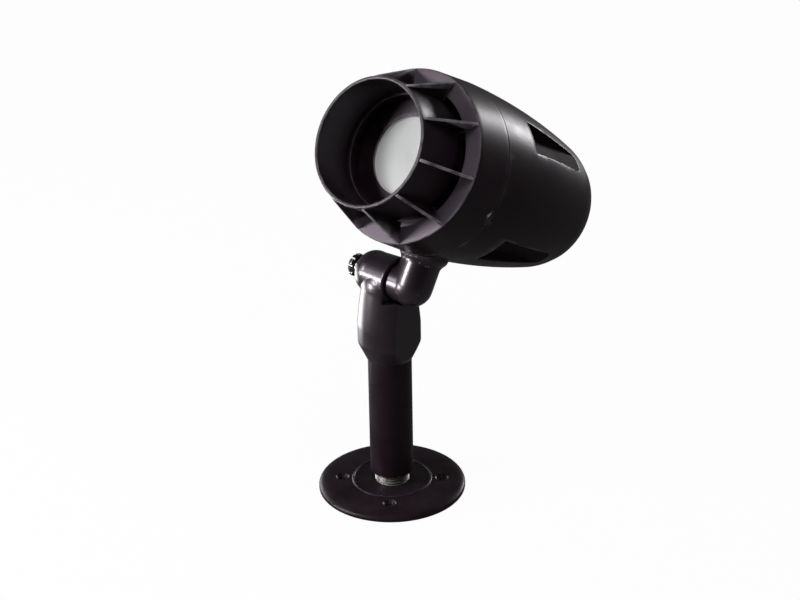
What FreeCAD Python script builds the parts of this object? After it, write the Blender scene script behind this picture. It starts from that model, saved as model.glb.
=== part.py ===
import FreeCAD, Part
import math
import os

# Garden spotlight: a bullet head with a glare snoot, carried by an offset arm on a
# swivelling knuckle, which turns on a tube screwed into a round flange base.
# Millimetres. +Z is up, the origin is the centre of the base's underside, the tube stands
# on the Z axis, the tilt pivot lies along X and the head aims towards -Y.

V = FreeCAD.Vector
X_AXIS = V(1, 0, 0)
Y_AXIS = V(0, 1, 0)
Z_AXIS = V(0, 0, 1)

# ---- clearances ----
RUN_CLEAR = 0.05        # a shaft in the hole that it turns in, on the radius
SEAT_CLEAR = 0.02       # a screwed or pressed joint between fixed pieces, on the radius
BODY_GAP = 0.3          # between faces that move past each other
SOCKET_CLEAR = 0.15     # a piece dropped into its seat, on the radius

# ---- base ----
BASE_R = 45.6
BASE_H = 5.2
BASE_TOP_R = 35.5       # where the flat top ends and the rounded rim begins
BASE_EDGE_H = 1.6       # upright edge at the outside of the rim
BASE_SKIN = 2.4
BASE_RIM_W = 4.6
BEAD_R = 24.2           # raised bead round the hub
BEAD_W = 1.6
BEAD_H = 0.6
HOLE_PITCH_R = 31.0     # fixing holes
HOLE_R = 2.3
HOLE_SINK_R = 4.2
HOLE_COUNT = 4
HOLE_TURN = 40.0
HOLE_BOSS_R = 6.0
NUT_FLATS = 28.0
NUT_H = 2.1

# ---- stem ----
NIPPLE_R = 10.65        # half-inch pipe thread
NIPPLE_BORE_R = 7.9
NIPPLE_FOOT_Z = 0.4
NIPPLE_GRIP = 14.0      # length held inside the tube
THREAD_PITCH = 1.81
THREAD_DEPTH = 1.0
TUBE_R = 13.4
TUBE_FOOT_Z = 12.0
TUBE_TOP_Z = 117.7

# ---- knuckle ----
KNUCKLE_GRIP = 27.2     # length of the tube inside the collar
KNUCKLE_WALL = 5.8      # collar's outside beyond the tube's, on the radius
KNUCKLE_LIP = 0.5       # radial step where the knuckle's foot meets the tube
KNUCKLE_CONE_H = 11.0
KNUCKLE_BARREL_H = 13.0
NECK_STEP = 2.8         # neck inside the collar's outside, on the radius
NECK_DROP = 6.0         # where the neck starts, below the pivot
CROWN_H = 8.5           # top of the neck above the pivot
WIREWAY_R = 7.0
KNUCKLE_FLAT_DEPTH = 4.0
RING_GROOVE_RISE = 4.0  # rubber ring above the collar's foot
SET_SCREW_R = 2.5
SET_SCREW_DROP = 9.7    # below the tube's top
SET_SCREW_SINK = 0.6
TUBE_GROOVE_DEPTH = 0.8
RING_SECTION = 1.5      # section of the tube's and the pivot's rubber rings
PIVOT_RING_INSET = 2.6  # pivot's rubber ring inside the ear's edge
RING_PROUD = 0.1        # how far the pivot's ring stands out of its groove
RING_ROOM = 0.2         # room in that groove, on the radius

# ---- tilt pivot ----
PIVOT_RISE = 26.3       # pivot axis above the tube's top
EAR_FACE_X = 8.0
EAR_R = 14.2
EAR_LENGTH = 27.5
EAR_END_R = 8.6
STUD_R = 4.0
STUD_BORE_R = 2.2
WASHER_R = 7.4
WASHER_T = 1.2
KNOB_R = 7.2
KNOB_HUB_R = 5.8
KNOB_HUB_L = 2.6
KNOB_GRIP_L = 3.6
KNOB_NOTCHES = 10
KNOB_NOTCH_R = 1.3
KNOB_CAP_T = 1.2

# ---- arm ----
ARM_R = 12.25
ARM_LET_IN = 0.85       # how far the arm's side is let into the joint with the ear
ARM_BOSS_STEP = 0.45    # joint's boss inside the arm's outside, on the radius
ARM_SHOULDER_SINK = 1.9 # collar's shoulder above the arm's lowest line
EAR_ROOM = 3.8          # room round the ear, on the radius
PAD_SKIN = 3.4          # pad inside the housing's skin
ARM_HOLLOW_R = 6.0
ARM_LENGTH = 18.5       # pivot axis to the housing's skin at the seam
ARM_SETBACK = 46.9      # arm axis behind the face of the bezel ring
FLARE_R = 15.2
FLARE_H = 3.2
GASKET_T = 1.0
ARM_SCREW_PITCH_R = 9.6
ARM_SCREW_GRIP = 10.0
PAD_R = 14.0

# ---- head ----
REST_AIM = 30.85        # degrees that the head looks up at rest
RING_R = 52.0
RING_CHANNEL = 3.0      # open channel between the ring and the snoot
RING_WALL = 3.0
SEAM_DEPTH = 28.0       # joint between the bezel and the rear housing
SEAM_GAP = 0.3          # fine groove round that joint, on the outside only
SEAM_FLARE = 0.9        # seam outside the ring, on the radius
HOUSING_MID_DROP = 3.5  # and the housing inside the seam, at two depths
HOUSING_MID_DEPTH = 82.0
HOUSING_TAIL_DROP = 12.1
HOUSING_TAIL_DEPTH = 134.0
HOUSING_DEPTH = 147.8
HOUSING_DOME = 1.0      # how far the middle of the rear end stands out
HOUSING_WALL = 3.0
FLANGE_W = 5.5          # front flange inside the ring's inner wall
FLANGE_T = 3.0
BOSS_WALL = 2.2         # bosses for the bracket's screws
BOSS_H = 4.5

# ---- screw pockets in the rear housing ----
POCKET_ANGLES = (44.0, 136.0, 224.0, 316.0)
POCKET_FRONT = 59.5
POCKET_REAR = 124.0
POCKET_FLOOR_DROP = 3.4 # floor below the screws' axes
POCKET_HALF_FRONT = 11.0
POCKET_HALF_REAR = 5.3
POCKET_WALL = 2.5
SCREW_INSET = 5.2       # screws' axes inside the ring's outside
COLUMN_R = 4.3
M4_R = 2.0
M4_HEAD_R = 3.1
M4_HEAD_H = 3.2
M3_R = 1.5
M3_HEAD_R = 2.6
M3_HEAD_H = 2.1
THREAD_SPARE = 2.0      # tapped depth beyond a screw's end
BRACKET_SCREW_L = 7.0
HOLDER_SCREW_L = 8.0

# ---- snoot ----
SNOOT_INSET = 13.5      # snoot inside the ring's outside, on the radius
SNOOT_WALL = 2.1
SNOOT_LENGTH = 36.9     # rim in front of the ring's face
SNOOT_GAP = 3.7         # rear end in front of the ring's face
SNOOT_LIP_T = 1.2       # rounded lip of the mouth, along the axis
FIN_COUNT = 10
FIN_T = 1.8
HUB_WALL = 2.1
HUB_OVERLAP = 5.0
GROOVE_DEPTH = 8.0
PLATE_T = 2.3

# ---- lens and lamp ----
LENS_INSET = 11.5       # lens inside the snoot's outside, on the radius
LENS_SEAT_W = 3.5
LENS_T = 3.0
LENS_GASKET_T = 0.6
LENS_BEVEL = 0.9        # bevel behind the view's edge
LIP_ROOM = 1.2          # lip's bore outside the lens, on the radius
LIP_WALL = 2.3
LIP_PROUD = 0.4         # lip behind the retainer
RETAINER_T = 3.4
LAMP_R = 24.8
LAMP_GLASS_T = 1.4
LAMP_GAP = 1.6          # behind the retainer
LAMP_DEPTH = 27.0
LAMP_NECK_R = 9.3
LAMP_SHELL = 1.3
LAMP_BASE_L = 9.0
LAMP_BASE_W = 16.0
LAMP_BASE_H = 11.0
CAPSULE_R = 4.0
CAPSULE_L = 14.0
PIN_R = 0.72
PIN_SPACING = 5.3
PIN_LENGTH = 7.0
HOLDER_W = 24.0
HOLDER_H = 13.0
HOLDER_L = 14.2
HOLDER_SCREW_X = 8.6
BRACKET_T = 1.5
BRACKET_W = 18.0
BRACKET_INSET = 1.5     # legs inside the housing's front flange
BRACKET_HOLE_R = 5.0
FOOT_W = 5.0            # feet outside the flange's inner edge
FOOT_SCREW_IN = 2.2
BLOCK_L = 17.0
BLOCK_W = 14.0
BLOCK_H = 10.0
PORT_DEPTH = 5.0        # each lead's port
CLAMP_INSET = 3.2       # each clamp screw inside the block's end
CLAMP_SINK = 0.6
SLOT_W = 0.6            # screwdriver slots
SLOT_DEPTH = 0.9
BLOCK_GAP = 1.0         # between the holder's side and the terminal block
LEAD_R = 1.0
LEAD_HALF = 3.5
LEAD_BEND = 4.5
GROMMET_R = 5.0
GROMMET_BORE_R = 3.2
GROMMET_FLANGE_R = 6.8
GROMMET_FLANGE_T = 1.3
SEAL_W = 1.7            # rubber ring between the bezel and the housing
SEAL_T = 1.3

# ---- sizes that follow from those above ----
KNUCKLE_FOOT_Z = TUBE_TOP_Z - KNUCKLE_GRIP
KNUCKLE_R = TUBE_R + KNUCKLE_WALL
NECK_R = KNUCKLE_R - NECK_STEP
KNUCKLE_FLAT_X = KNUCKLE_R - KNUCKLE_FLAT_DEPTH
PIVOT_Z = TUBE_TOP_Z + PIVOT_RISE
SNOOT_R = RING_R - SNOOT_INSET
RING_INNER_R = SNOOT_R + RING_CHANNEL
SEAM_R = RING_R + SEAM_FLARE
HOUSING_MID_R = SEAM_R - HOUSING_MID_DROP
HOUSING_TAIL_R = SEAM_R - HOUSING_TAIL_DROP
FLANGE_INNER_R = RING_INNER_R - FLANGE_W
SCREW_PITCH_R = RING_R - SCREW_INSET
POCKET_FLOOR_R = SCREW_PITCH_R - POCKET_FLOOR_DROP
ARM_REACH = SEAM_R + ARM_LENGTH
LENS_R = SNOOT_R - LENS_INSET
LENS_VIEW_R = LENS_R - LENS_SEAT_W
BRACKET_HALF = FLANGE_INNER_R - BRACKET_INSET
FOOT_REACH = FLANGE_INNER_R + FOOT_W
FOOT_SCREW_X = FLANGE_INNER_R + FOOT_SCREW_IN
TUBE_BORE_R = NIPPLE_R + SEAT_CLEAR
COLLAR_BORE_R = TUBE_R + RUN_CLEAR
ARM_X = EAR_FACE_X + BODY_GAP - ARM_LET_IN + ARM_R
SHOULDER_Z = PIVOT_Z - ARM_R + ARM_SHOULDER_SINK
EAR_END_X = EAR_FACE_X - EAR_LENGTH
LENS_FRONT = PLATE_T + LENS_GASKET_T
RETAINER_FRONT = LENS_FRONT + LENS_T
LIP_R = LENS_R + LIP_ROOM
LIP_REAR = RETAINER_FRONT + RETAINER_T + LIP_PROUD
LAMP_FRONT = RETAINER_FRONT + RETAINER_T + LAMP_GAP
REFLECTOR_FRONT = LAMP_FRONT + LAMP_GLASS_T
REFLECTOR_REAR = LAMP_FRONT + LAMP_DEPTH
LAMP_BASE_REAR = REFLECTOR_REAR + LAMP_BASE_L
HOLDER_FRONT = LAMP_BASE_REAR + BODY_GAP
HOLDER_REAR = HOLDER_FRONT + HOLDER_L
FOOT_FRONT = SEAM_DEPTH - BRACKET_T
BLOCK_X = HOLDER_W / 2 + BLOCK_GAP
PIVOT_TO_PAD = ARM_LENGTH + HOUSING_WALL + PAD_SKIN

# The head is drawn about its own axis: X across, Y from the axis towards the arm, Z from
# the ring's face towards the rear. This placement tilts it to rest and hangs it on the pivot.
HEAD_TURN = FreeCAD.Rotation(X_AXIS, -(90.0 + REST_AIM))
PIVOT = V(ARM_X, 0, PIVOT_Z)
HEAD = FreeCAD.Placement(PIVOT - HEAD_TURN.multVec(V(0, ARM_REACH, ARM_SETBACK)), HEAD_TURN)

os.makedirs("parts", exist_ok=True)


# ---- helpers ----
def save(name, shape):
    """Write one node; its solids stay separate."""
    shape = shape.removeSplitter()
    solids = shape.Solids
    if not solids or not shape.isValid() or min(solid.Volume for solid in solids) <= 0:
        raise ValueError(name + " is not a sound solid")
    body = solids[0] if len(solids) == 1 else Part.makeCompound(solids)
    body.exportStep("parts/" + name + ".step")
    print(f"{name}: {len(solids)} solid(s), {shape.Volume / 1000:.2f} cm3")


def turned(start, *steps):
    """Turn a closed outline of (radius, height) points about Z.

    A step is the end of a straight line, or a pair (middle, end) for an arc."""
    edges = []
    first = V(start[0], 0, start[1])
    here = first
    for step in steps:
        if isinstance(step[0], tuple):
            middle = V(step[0][0], 0, step[0][1])
            end = V(step[1][0], 0, step[1][1])
            edges.append(Part.Arc(here, middle, end).toShape())
        else:
            end = V(step[0], 0, step[1])
            edges.append(Part.makeLine(here, end))
        here = end
    edges.append(Part.makeLine(here, first))
    solid = Part.Face(Part.Wire(edges)).revolve(V(0, 0, 0), Z_AXIS, 360)
    return solid if solid.Volume > 0 else solid.reversed()


def rod(radius, low, high, x=0.0, y=0.0):
    """Upright cylinder between two heights."""
    return Part.makeCylinder(radius, high - low, V(x, y, low))


def rod_x(radius, low, high, y=0.0, z=0.0):
    return Part.makeCylinder(radius, high - low, V(low, y, z), X_AXIS)


def rod_y(radius, low, high, x=0.0, z=0.0):
    return Part.makeCylinder(radius, high - low, V(x, low, z), Y_AXIS)


def ring(outer, inner, low, high):
    return rod(outer, low, high).cut(rod(inner, low - 1, high + 1))


def block(low, high):
    """Box between two corners."""
    return Part.makeBox(high[0] - low[0], high[1] - low[1], high[2] - low[2], V(*low))


def on_circle(shape, radius, degrees):
    """Copy of a shape, moved out along X and turned about Z."""
    moved = shape.copy()
    moved.translate(V(radius, 0, 0))
    moved.rotate(V(0, 0, 0), Z_AXIS, degrees)
    return moved


def around(shape, radius, angles):
    return Part.makeCompound([on_circle(shape, radius, angle) for angle in angles])


def placed(shape, origin, direction):
    """Copy of a shape drawn up the Z axis, moved to an origin and aimed along a direction."""
    return shape.transformed(FreeCAD.Placement(origin, FreeCAD.Rotation(Z_AXIS, direction)).toMatrix())


def in_head(shape):
    return shape.transformed(HEAD.toMatrix())


def fused(first, *others):
    return first.multiFuse(list(others))


def hexagon(flats, low, high):
    corner = flats / math.sqrt(3)
    points = [V(corner * math.cos(math.radians(60 * i)), corner * math.sin(math.radians(60 * i)), low)
              for i in range(7)]
    return Part.Face(Part.makePolygon(points)).extrude(V(0, 0, high - low))


def socket_screw(radius, length, head_r, head_h):
    """Cap screw up the Z axis: head below zero, shank above, hexagon socket in the head."""
    head = turned((0, -head_h), (head_r - 0.3, -head_h), (head_r, -head_h + 0.3), (head_r, 0), (0, 0))
    screw = head.fuse(rod(radius, 0, length))
    return screw.cut(hexagon(radius * 1.5, -head_h, -head_h * 0.45))


# ---- base and stem ----
def base_flange():
    """Cast disc with a rounded rim, hollow underneath, with a tapped centre and fixing holes."""
    bend = 0.7071
    rim_mid = (BASE_TOP_R + (BASE_R - BASE_TOP_R) * bend,
               BASE_EDGE_H + (BASE_H - BASE_EDGE_H) * bend)
    disc = turned((0, 0), (BASE_R - 0.4, 0), (BASE_R, 0.4), (BASE_R, BASE_EDGE_H),
                  (rim_mid, (BASE_TOP_R, BASE_H)), (0, BASE_H))
    bead = turned((BEAD_R - BEAD_W / 2, BASE_H - 0.5), (BEAD_R - BEAD_W / 2, BASE_H),
                  ((BEAD_R, BASE_H + BEAD_H), (BEAD_R + BEAD_W / 2, BASE_H)),
                  (BEAD_R + BEAD_W / 2, BASE_H - 0.5))
    hollow = rod(BASE_R - BASE_RIM_W, -1, BASE_H - BASE_SKIN)
    angles = [HOLE_TURN + 360 / HOLE_COUNT * i for i in range(HOLE_COUNT)]
    bosses = around(rod(HOLE_BOSS_R, -1, BASE_H), HOLE_PITCH_R, angles)
    sink = Part.makeCone(HOLE_R, HOLE_SINK_R, HOLE_SINK_R - HOLE_R, V(0, 0, BASE_H - HOLE_SINK_R + HOLE_R))
    hole = fused(rod(HOLE_R, -1, BASE_H + 1), sink)
    disc = disc.fuse(bead).cut(hollow.cut(bosses))
    return disc.cut(around(hole, HOLE_PITCH_R, angles)).cut(rod(NIPPLE_R + SEAT_CLEAR, -1, BASE_H + 1))


def base_locknut():
    top = BASE_H - BASE_SKIN
    return hexagon(NUT_FLATS, top - NUT_H, top).cut(rod(NIPPLE_R + SEAT_CLEAR, -1, top + 1))


def stem_nipple():
    """Threaded pipe that joins the tube to the base; the thread is shown as rings."""
    crest = NIPPLE_R
    root = NIPPLE_R - THREAD_DEPTH
    steps = []
    height = NIPPLE_FOOT_Z
    while height + THREAD_PITCH <= TUBE_FOOT_Z - 0.3:
        steps.append((crest, height + THREAD_PITCH * 0.4))
        steps.append((crest, height + THREAD_PITCH * 0.6))
        steps.append((root, height + THREAD_PITCH))
        height += THREAD_PITCH
    top = TUBE_FOOT_Z + NIPPLE_GRIP
    steps.append((root, TUBE_FOOT_Z))
    steps.append((crest, TUBE_FOOT_Z))
    steps.append((crest, top))
    return turned((0, NIPPLE_FOOT_Z), (root, NIPPLE_FOOT_Z), *steps, (0, top)).cut(
        rod(NIPPLE_BORE_R, NIPPLE_FOOT_Z - 1, top + 1))


def stem_tube():
    groove_z = TUBE_TOP_Z - SET_SCREW_DROP
    groove = ring(TUBE_R + 1, TUBE_R - TUBE_GROOVE_DEPTH, groove_z - SET_SCREW_R - 0.2,
                  groove_z + SET_SCREW_R + 0.2)
    tube = turned((TUBE_BORE_R, TUBE_FOOT_Z), (TUBE_R - 0.6, TUBE_FOOT_Z), (TUBE_R, TUBE_FOOT_Z + 0.6),
                  (TUBE_R, TUBE_TOP_Z), (TUBE_BORE_R, TUBE_TOP_Z))
    return tube.cut(groove)


# ---- knuckle and tilt pivot ----
def knuckle_column():
    """Outside of the collar and neck, before the ear and the cuts."""
    foot_r = COLLAR_BORE_R + KNUCKLE_LIP
    cone_top = KNUCKLE_FOOT_Z + KNUCKLE_CONE_H
    barrel_top = cone_top + KNUCKLE_BARREL_H
    neck_z = PIVOT_Z - NECK_DROP
    waist = ((KNUCKLE_R + NECK_R) / 2 + 0.4, (barrel_top + neck_z) / 2 - 1.0)
    crown = (NECK_R - 3.0, PIVOT_Z + CROWN_H - 5.0)
    crown_end = (NECK_R - 9.0, PIVOT_Z + CROWN_H)
    return turned((0, KNUCKLE_FOOT_Z), (foot_r, KNUCKLE_FOOT_Z), (KNUCKLE_R - 0.7, cone_top - 1.3),
                  ((KNUCKLE_R - 0.15, cone_top), (KNUCKLE_R, cone_top + 1.8)), (KNUCKLE_R, barrel_top),
                  (waist, (NECK_R, neck_z)), (crown, crown_end), (0, crown_end[1]))


def swivel_knuckle():
    """Collar that turns on the tube, with the ear that carries the tilt pivot."""
    ear = turned((0, EAR_END_X), (EAR_END_R, EAR_END_X),
                 ((EAR_R - 2.0, EAR_END_X + 4.0), (EAR_R - 0.9, EAR_END_X + 10.5)),
                 (EAR_R, EAR_FACE_X - 0.8), (EAR_R - 0.8, EAR_FACE_X), (0, EAR_FACE_X))
    knuckle = knuckle_column().fuse(placed(ear, V(0, 0, PIVOT_Z), X_AXIS))
    reach = KNUCKLE_R + 1
    beside_ear = block((EAR_FACE_X, -reach, SHOULDER_Z), (reach, reach, PIVOT_Z + EAR_R))
    trough = rod_x(ARM_R + BODY_GAP + ARM_BOSS_STEP, EAR_FACE_X, reach, z=PIVOT_Z)
    flat = block((KNUCKLE_FLAT_X, -reach, KNUCKLE_FOOT_Z), (reach, reach, SHOULDER_Z))
    socket = rod(COLLAR_BORE_R, KNUCKLE_FOOT_Z - 1, TUBE_TOP_Z + BODY_GAP)
    wireway = rod(WIREWAY_R, TUBE_TOP_Z, PIVOT_Z - STUD_R + 1.0)
    stud_hole = rod_x(STUD_R + RUN_CLEAR, EAR_END_X - 1, EAR_FACE_X + 1, z=PIVOT_Z)
    set_hole = rod_y(SET_SCREW_R + SEAT_CLEAR, TUBE_R - 1, reach, z=TUBE_TOP_Z - SET_SCREW_DROP)
    return knuckle.cut([beside_ear, trough, flat, socket, wireway, stud_hole, set_hole,
                        tube_ring_groove(), pivot_ring_groove()])


def tube_ring_groove():
    low = KNUCKLE_FOOT_Z + RING_GROOVE_RISE
    return ring(COLLAR_BORE_R + RING_SECTION, COLLAR_BORE_R - 1, low, low + RING_SECTION + 0.3)


def stem_seal():
    """Rubber ring in the collar's foot."""
    low = KNUCKLE_FOOT_Z + RING_GROOVE_RISE + SOCKET_CLEAR
    return ring(COLLAR_BORE_R + RING_SECTION - SEAT_CLEAR, COLLAR_BORE_R, low, low + RING_SECTION)


def pivot_ring_groove():
    outer = EAR_R - PIVOT_RING_INSET
    groove = ring(outer, outer - RING_SECTION - RING_ROOM, RING_PROUD - RING_SECTION, 1)
    return placed(groove, V(EAR_FACE_X, 0, PIVOT_Z), X_AXIS)


def pivot_seal():
    """Rubber ring let into the ear's face."""
    outer = EAR_R - PIVOT_RING_INSET - SEAT_CLEAR
    seal = ring(outer, outer - RING_SECTION, RING_PROUD - RING_SECTION, RING_PROUD)
    return placed(seal, V(EAR_FACE_X, 0, PIVOT_Z), X_AXIS)


def swivel_set_screw():
    """Headless screw whose tip runs in the tube's groove."""
    tip = TUBE_R - TUBE_GROOVE_DEPTH + 0.2
    outer = KNUCKLE_R - SET_SCREW_SINK
    screw = turned((0, 0), (SET_SCREW_R - 0.5, 0), (SET_SCREW_R, 0.5), (SET_SCREW_R, outer - tip),
                   (0, outer - tip))
    screw = screw.cut(hexagon(2.5, outer - tip - 2.2, outer - tip + 1))
    return placed(screw, V(0, tip, TUBE_TOP_Z - SET_SCREW_DROP), Y_AXIS)


def pivot_stud():
    """Hollow threaded stud, fixed in the arm; the leads leave it by a hole inside the knuckle."""
    low = EAR_END_X - WASHER_T - KNOB_HUB_L - KNOB_GRIP_L + 1.8
    high = ARM_X - ARM_HOLLOW_R + 0.4
    stud = rod_x(STUD_R, low, high, z=PIVOT_Z).cut(rod_x(STUD_BORE_R, -4.0, high + 1, z=PIVOT_Z))
    return stud.cut(rod(STUD_BORE_R - 0.2, PIVOT_Z - STUD_R - 1, PIVOT_Z))


def pivot_washer():
    washer = ring(WASHER_R, STUD_R + 0.2, 0, WASHER_T)
    return placed(washer, V(EAR_END_X, 0, PIVOT_Z), V(-1, 0, 0))


def thumb_nut():
    """Knurled cap nut that clamps the tilt."""
    length = KNOB_HUB_L + KNOB_GRIP_L
    nut = turned((0, 0), (KNOB_HUB_R, 0), (KNOB_HUB_R - 0.4, KNOB_HUB_L), (KNOB_R, KNOB_HUB_L + 0.8),
                 (KNOB_R, length - 0.5), (KNOB_R - 0.5, length), (0, length))
    angles = [360 / KNOB_NOTCHES * i for i in range(KNOB_NOTCHES)]
    notches = around(rod(KNOB_NOTCH_R, KNOB_HUB_L, length + 1), KNOB_R + 0.5, angles)
    nut = nut.cut(notches).cut(rod(STUD_R + RUN_CLEAR, -1, length - KNOB_CAP_T))
    return placed(nut, V(EAR_END_X - WASHER_T - BODY_GAP / 2, 0, PIVOT_Z), V(-1, 0, 0))


# ---- head castings, drawn about the head's own axis ----
def housing_form(grow=0.0, front=SEAM_DEPTH):
    """Solid with the housing's outside, grown outwards (or inwards, when negative)."""
    corner = (HOUSING_TAIL_R - 4.4 + grow, HOUSING_DEPTH - 3.6 + grow * 0.8)
    rear = HOUSING_DEPTH + grow
    tail_end = (HOUSING_TAIL_R - 15.0, rear - HOUSING_DOME)
    dome_r = (tail_end[0] ** 2 + HOUSING_DOME ** 2) / (2 * HOUSING_DOME)
    half = tail_end[0] / 2
    dome_middle = (half, rear - dome_r + math.sqrt(dome_r ** 2 - half ** 2))
    return turned((0, front), (SEAM_R + grow, front),
                  ((HOUSING_MID_R + grow, HOUSING_MID_DEPTH), (HOUSING_TAIL_R + grow, HOUSING_TAIL_DEPTH)),
                  (corner, tail_end), (dome_middle, (0, rear)))


def pocket_prism(margin):
    """Wedge over one screw pocket, along +X; a margin makes the form of its walls."""
    front = POCKET_FRONT - margin
    rear = POCKET_REAR + margin
    half_front = POCKET_HALF_FRONT + margin
    half_rear = POCKET_HALF_REAR + margin
    low = POCKET_FLOOR_R - margin
    corners = [V(low, -half_front, front), V(low, half_front, front),
               V(low, half_rear, rear), V(low, -half_rear, rear), V(low, -half_front, front)]
    return Part.Face(Part.makePolygon(corners)).extrude(V(SEAM_R - low + 2, 0, 0))


def rear_housing():
    """Closed shell with four screw pockets, their columns, the front flange and the arm's pad."""
    form = housing_form()
    shell = form.cut(housing_form(-HOUSING_WALL, SEAM_DEPTH + FLANGE_T))
    column = rod(COLUMN_R, SEAM_DEPTH, POCKET_FRONT)
    pad = rod_y(PAD_R, ARM_REACH - PIVOT_TO_PAD, SEAM_R, z=ARM_SETBACK)
    foot_boss = rod(M3_R + BOSS_WALL, SEAM_DEPTH, SEAM_DEPTH + FLANGE_T + BOSS_H)
    inside = Part.makeCompound([pad, around(column, SCREW_PITCH_R, POCKET_ANGLES),
                                around(pocket_prism(POCKET_WALL), 0, POCKET_ANGLES),
                                around(foot_boss, FOOT_SCREW_X, (0, 180))])
    shell = fused(shell, *[solid.common(form) for solid in inside.Solids])
    cuts = [rod(FLANGE_INNER_R, SEAM_DEPTH - 1, SEAM_DEPTH + FLANGE_T + 1),
            around(pocket_prism(0), 0, POCKET_ANGLES),
            around(rod(M4_R + SOCKET_CLEAR, SEAM_DEPTH - 1, POCKET_FRONT + 1), SCREW_PITCH_R, POCKET_ANGLES),
            around(rod(M3_R + SEAT_CLEAR, SEAM_DEPTH - 1, FOOT_FRONT + 8.0), FOOT_SCREW_X, (0, 180)),
            seal_groove(), arm_holes(GROMMET_R, M3_R + SOCKET_CLEAR),
            ring(SEAM_R + 2, SEAM_R - 0.8, SEAM_DEPTH - 1, SEAM_DEPTH + SEAM_GAP)]
    for piece in cuts:
        shell = shell.cut(piece)
    return shell


def arm_holes(centre_r, screw_r):
    """Drills through the arm joint: the wire hole and four screw holes."""
    low = ARM_REACH - PIVOT_TO_PAD - 1
    high = ARM_REACH - PIVOT_TO_PAD + 9.0
    drills = [rod_y(centre_r, low, high, z=ARM_SETBACK)]
    for x, z in arm_screw_places():
        drills.append(rod_y(screw_r, low, high, x, z))
    return Part.makeCompound(drills)


def arm_screw_places():
    step = ARM_SCREW_PITCH_R * math.cos(math.radians(45))
    return [(x * step, ARM_SETBACK + z * step) for x in (-1, 1) for z in (-1, 1)]


def seal_groove():
    middle = RING_INNER_R + RING_WALL / 2
    half = SEAL_W / 2 + RUN_CLEAR
    return ring(middle + half, middle - half, SEAM_DEPTH - 1, SEAM_DEPTH + SEAL_T)


def housing_seal():
    """Rubber ring squeezed between the bezel and the housing's flange."""
    middle = RING_INNER_R + RING_WALL / 2
    return ring(middle + SEAL_W / 2, middle - SEAL_W / 2, SEAM_DEPTH, SEAM_DEPTH + SEAL_T)


def bezel_ring():
    """Front ring: double wall with screw columns, glare plate, hub for the snoot, lens seat."""
    inner_wall_r = RING_INNER_R + RING_WALL
    outer_wall_r = RING_R - RING_WALL
    walls = turned((RING_INNER_R, 0), (RING_R - 0.8, 0), ((RING_R - 0.2, 0.2), (RING_R, 0.8)),
                   (SEAM_R, SEAM_DEPTH), (SEAM_R - RING_WALL - 0.4, SEAM_DEPTH),
                   (outer_wall_r, RING_WALL), (inner_wall_r, RING_WALL), (inner_wall_r, SEAM_DEPTH),
                   (RING_INNER_R, SEAM_DEPTH))
    hub_r = SNOOT_R - SNOOT_WALL - SOCKET_CLEAR
    hub_front = -(SNOOT_GAP + HUB_OVERLAP)
    floor_rear = GROOVE_DEPTH + RING_WALL
    hub = turned((LENS_VIEW_R, 0), (hub_r - HUB_WALL, 0), (hub_r - HUB_WALL, hub_front), (hub_r, hub_front),
                 (hub_r, GROOVE_DEPTH), (RING_INNER_R + 0.5, GROOVE_DEPTH), (RING_INNER_R + 0.5, floor_rear),
                 (hub_r - HUB_WALL, floor_rear), (hub_r - HUB_WALL, PLATE_T), (LIP_R + LIP_WALL, PLATE_T),
                 (LIP_R + LIP_WALL, LIP_REAR), (LIP_R, LIP_REAR), (LIP_R, PLATE_T),
                 (LENS_VIEW_R + LENS_BEVEL, PLATE_T))
    column = rod(COLUMN_R, RING_WALL / 2, SEAM_DEPTH)
    bezel = fused(walls, hub, *around(column, SCREW_PITCH_R, POCKET_ANGLES).Solids)
    tapped = rod(M4_R + SEAT_CLEAR, GROOVE_DEPTH, SEAM_DEPTH + 1)
    return bezel.cut(around(tapped, SCREW_PITCH_R, POCKET_ANGLES))


def snoot():
    """Glare tube with triangular fins; the fins stand on the ring and the tube slides on the hub."""
    outer = SNOOT_R
    inner = SNOOT_R - SNOOT_WALL
    front = -SNOOT_LENGTH
    tube = turned((inner + 0.3, front + 0.5), ((inner + 0.9, front), (inner + 1.5, front + 0.1)),
                  ((outer - 0.1, front + 0.5), (outer, front + 1.0)), (outer, -SNOOT_GAP), (inner, -SNOOT_GAP),
                  (inner, front + SNOOT_LIP_T))
    root = SNOOT_R - SNOOT_WALL / 2
    corners = [V(root, 0, front + 1.6), V(outer + 0.5, 0, front + 1.2), V(RING_R - 0.4, 0, -0.9),
               V(RING_R - 0.7, 0, 0), V(outer + 0.4, 0, 0), V(outer + 0.4, 0, -SNOOT_GAP),
               V(root, 0, -SNOOT_GAP), V(root, 0, front + 1.6)]
    fin = Part.Face(Part.makePolygon(corners)).extrude(V(0, FIN_T, 0))
    fin.translate(V(0, -FIN_T / 2, 0))
    fins = around(fin, 0, [360 / FIN_COUNT * i for i in range(FIN_COUNT)])
    return fused(tube, *fins.Solids)


# ---- lens and lamp, about the head's axis ----
def lens_gasket():
    return ring(LENS_R, LENS_VIEW_R + 1.2, PLATE_T, LENS_FRONT)


def lens():
    return turned((0, LENS_FRONT), (LENS_R - 0.4, LENS_FRONT), (LENS_R, LENS_FRONT + 0.4),
                  (LENS_R, RETAINER_FRONT - 0.4), (LENS_R - 0.4, RETAINER_FRONT), (0, RETAINER_FRONT))


def lens_retainer():
    """Threaded ring behind the lens, with two slots for a pin spanner."""
    rear = RETAINER_FRONT + RETAINER_T
    body = ring(LIP_R - SEAT_CLEAR, LENS_VIEW_R + 0.5, RETAINER_FRONT, rear)
    slot = block((-1.2, -LIP_R, rear - 1.6), (1.2, LIP_R, rear + 1))
    return body.cut(slot)


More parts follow.
